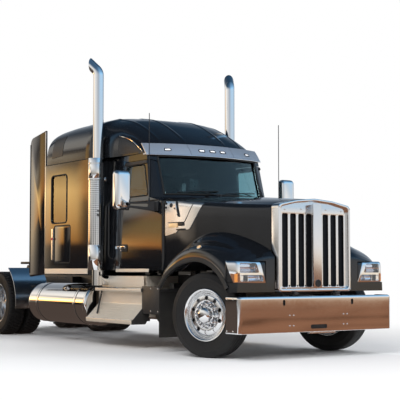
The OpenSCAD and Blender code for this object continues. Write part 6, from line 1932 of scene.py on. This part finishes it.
# %% The tent that reflections see
TENT_R = 22.0
LAND, ZENITH = (0.02, 0.017, 0.015), (0.02, 0.05, 0.1)
HAZE = [(6.6, (0.22, 0.19, 0.17)), (8, (1.2, 1.12, 1.0)), (14, (1.2, 1.15, 1.05)), (18, (0.25, 0.27, 0.3))]
CLOUD = [(9.2, (0.3, 0.26, 0.22)), (12, (1.2, 1.12, 1.0)), (18, (0.04, 0.06, 0.08))]
AHEAD_SKY = [(0, (0.27, 0.125, 0.07)), (0.2, (0.3, 0.14, 0.075)), (0.32, (0.95, 0.78, 0.58)),
             (1.6, (0.92, 0.9, 0.88)), (5, (0.6, 0.7, 0.8)), (11, (0.4, 0.75, 1.1))]
SKY = [  # a bearing from straight ahead, then the colours at heights up the tent
    (-162, [(0, (0.5, 0.42, 0.34)), (1.0, (0.9, 0.74, 0.55)), (2.0, (1.9, 1.4, 0.85)), (4, (1.9, 1.6, 1.2)),
        (6, (1.1, 1.0, 0.9)), (10, (0.9, 0.88, 0.85)), (18, (0.05, 0.07, 0.1))]),
    (-151, [(0, LAND), (1.9, LAND), (2.1, (2.7, 1.15, 0.25)), (3.0, (4.4, 2.4, 0.75)), (3.9, (6.2, 3.8, 1.3)),
        (4.7, (0.8, 0.55, 0.3)), (5.4, (1.5, 1.25, 0.9)), (6.0, (0.5, 0.42, 0.33))] + HAZE),
    (-147.5, [(0, LAND), (1.9, LAND), (2.1, (2.4, 1.05, 0.24)), (3.0, (3.9, 2.2, 0.7)), (3.9, (5.0, 3.1, 1.1)),
        (4.7, (0.8, 0.55, 0.3))] + HAZE),
    (-145.6, [(0, LAND), (3.4, LAND), (3.8, (3.2, 1.2, 0.26)), (4.4, (2.6, 1.15, 0.28)), (5.4, (1.7, 0.98, 0.32)),
        (6.6, (1.5, 0.95, 0.33)), (7.6, (1.6, 0.8, 0.25)), (8.4, (1.0, 0.5, 0.2))] + CLOUD),
    (-141, [(0, LAND), (3.2, LAND), (3.6, (2.6, 1.0, 0.24)), (4.4, (2.2, 1.1, 0.3)), (5.4, (1.5, 0.9, 0.32)),
        (6.6, (1.3, 0.85, 0.33)), (7.6, (1.2, 0.7, 0.25)), (8.4, (0.8, 0.45, 0.2))] + CLOUD),
    (-130, [(0, LAND), (2.0, LAND), (2.2, (2.3, 1.85, 1.4)), (3.2, (2.2, 1.85, 1.5)), (4.2, (0.5, 0.45, 0.4)),
        (5.6, (0.3, 0.3, 0.3)), (6.6, (1.2, 1.12, 1.0)), (10, (1.1, 1.05, 1.0)), (18, (0.04, 0.07, 0.1))]),
    (-116, [(0, LAND), (1.8, LAND), (2.1, (0.3, 0.26, 0.21)), (3.6, (0.75, 0.7, 0.64)), (4.8, (0.7, 0.66, 0.6)),
        (6.2, (1.0, 0.97, 0.9)), (9, (1.0, 1.0, 1.0)), (18, (0.04, 0.08, 0.12))]),
    (-90, [(0, (0.3, 0.29, 0.28)), (1.6, (0.45, 0.42, 0.38)), (2.4, (0.5, 0.48, 0.45)), (5, (0.9, 0.88, 0.85)),
        (9, (0.8, 0.8, 0.8)), (18, (0.04, 0.09, 0.15))]),
    (-34, [(0, (0.3, 0.25, 0.21)), (1.2, (0.55, 0.52, 0.48)), (3, (0.56, 0.57, 0.58)), (8, (0.42, 0.48, 0.56)),
        (18, (0.1, 0.2, 0.34))]),
    (8, AHEAD_SKY + [(18, (0.25, 0.5, 0.8))]),
    (56, AHEAD_SKY + [(18, (0.2, 0.42, 0.7))]),
    (100, [(0, (0.2, 0.2, 0.2)), (1.5, (0.5, 0.5, 0.5)), (6, (0.4, 0.48, 0.58)), (18, (0.04, 0.1, 0.18))]),
    (180, [(0, (0.1, 0.09, 0.08)), (2, (0.45, 0.4, 0.36)), (6, (0.4, 0.42, 0.45)), (18, (0.03, 0.06, 0.1))])]
HEIGHTS = [0, 0.2, 0.26, 0.32, 0.8, 1.2, 1.6, 1.8, 1.9, 2.0, 2.1, 2.2, 2.4, 3.0, 3.4, 3.6, 3.8, 4.2, 4.7, 5.4, 6.0,
           6.6, 7.6, 8, 8.4, 9.2, 10, 12, 14, 18]


def sky_tone(bearing, z):
    """A colour of the tent, mixed from the two nearest bearings."""
    z += 0.16 * min(1.0, z / 2) * sin(radians(bearing * 17)) * sin(radians(bearing * 5 + 40))
    row = [[float(np.interp(z, [s[0] for s in stops], [s[1][c] for s in stops])) for c in range(3)]
           for _, stops in SKY]
    places = [b for b, _ in SKY]
    return [float(np.interp(bearing, places, [r[c] for r in row], period=360)) for c in range(3)]


def glow_material(name):
    m = bpy.data.materials.new(name)
    m.use_nodes = True
    t = m.node_tree
    t.nodes.remove(t.nodes["Principled BSDF"])
    tone = node(t, "ShaderNodeVertexColor", layer_name="tone").outputs["Color"]
    glow = node(t, "ShaderNodeEmission", {"Color": tone})
    feed(t, t.nodes["Material Output"], {"Surface": glow.outputs[0]})
    return m


GLOW = glow_material("tent_glow")


def seen_in_polish(obj, tones):
    paint = obj.data.color_attributes.new("tone", "FLOAT_COLOR", "POINT")
    for spot, tone in zip(paint.data, tones):
        spot.color = (*tone, 1)
    obj.data.materials.append(GLOW)
    obj.visible_camera = obj.visible_diffuse = obj.visible_transmission = obj.visible_shadow = False
    return obj


bearings = list(range(-180, 180, 2))
verts = [(TENT_R * cos(radians(b)), TENT_R * sin(radians(b)), z) for z in HEIGHTS for b in bearings]
tones = [sky_tone(b, z) for z in HEIGHTS for b in bearings]
n = len(bearings)
faces = grid_faces(len(HEIGHTS), n, True)
faces += [((len(HEIGHTS) - 1) * n + k, (len(HEIGHTS) - 1) * n + (k + 1) % n, len(verts)) for k in range(n)]
verts.append((0, 0, 24))
tones.append(ZENITH)

seen_in_polish(loose("sky_tent", verts, faces), tones)

BROWN, DARK = (0.27, 0.125, 0.07), (0.08, 0.058, 0.048)
STREAKS = [(7.2, 0.35, 0.25), (9.4, 0.5, 0.3), (12.6, 0.75, 0.62), (15.5, 0.6, 0.25),
           (18.5, 0.9, 0.4)]  # place, breadth, depth of shade


def ground_shade(x, y):
    """How bright the brown ground is: wavy darker streaks run across it."""
    wave = 0.55 * sin(0.8 * y) + 0.3 * sin(1.9 * y + 1.0)
    bright = 1.12
    for place, breadth, depth in STREAKS:
        bright *= 1 - depth * exp(-((x + wave - place) / breadth) ** 2)
    return bright


xs, ys = [4.62 + 17.38 * k / 96 for k in range(97)], [-9 + 29 * k / 72 for k in range(73)]
verts = [(x, y, 0.003) for y in ys for x in xs]
tones = [[c * ground_shade(x, y) for c in BROWN] for x, y, _ in verts]
seen_in_polish(loose("brown_ground", verts, grid_faces(len(ys), len(xs))), tones)
corners = [(-20, -18, 0.003), (2.3, -18, 0.003), (2.3, 5.5, 0.003), (-20, 5.5, 0.003)]
seen_in_polish(loose("dark_ground", corners, [(0, 1, 2, 3)]), [DARK] * 4)
print("tent corners:", len(verts))
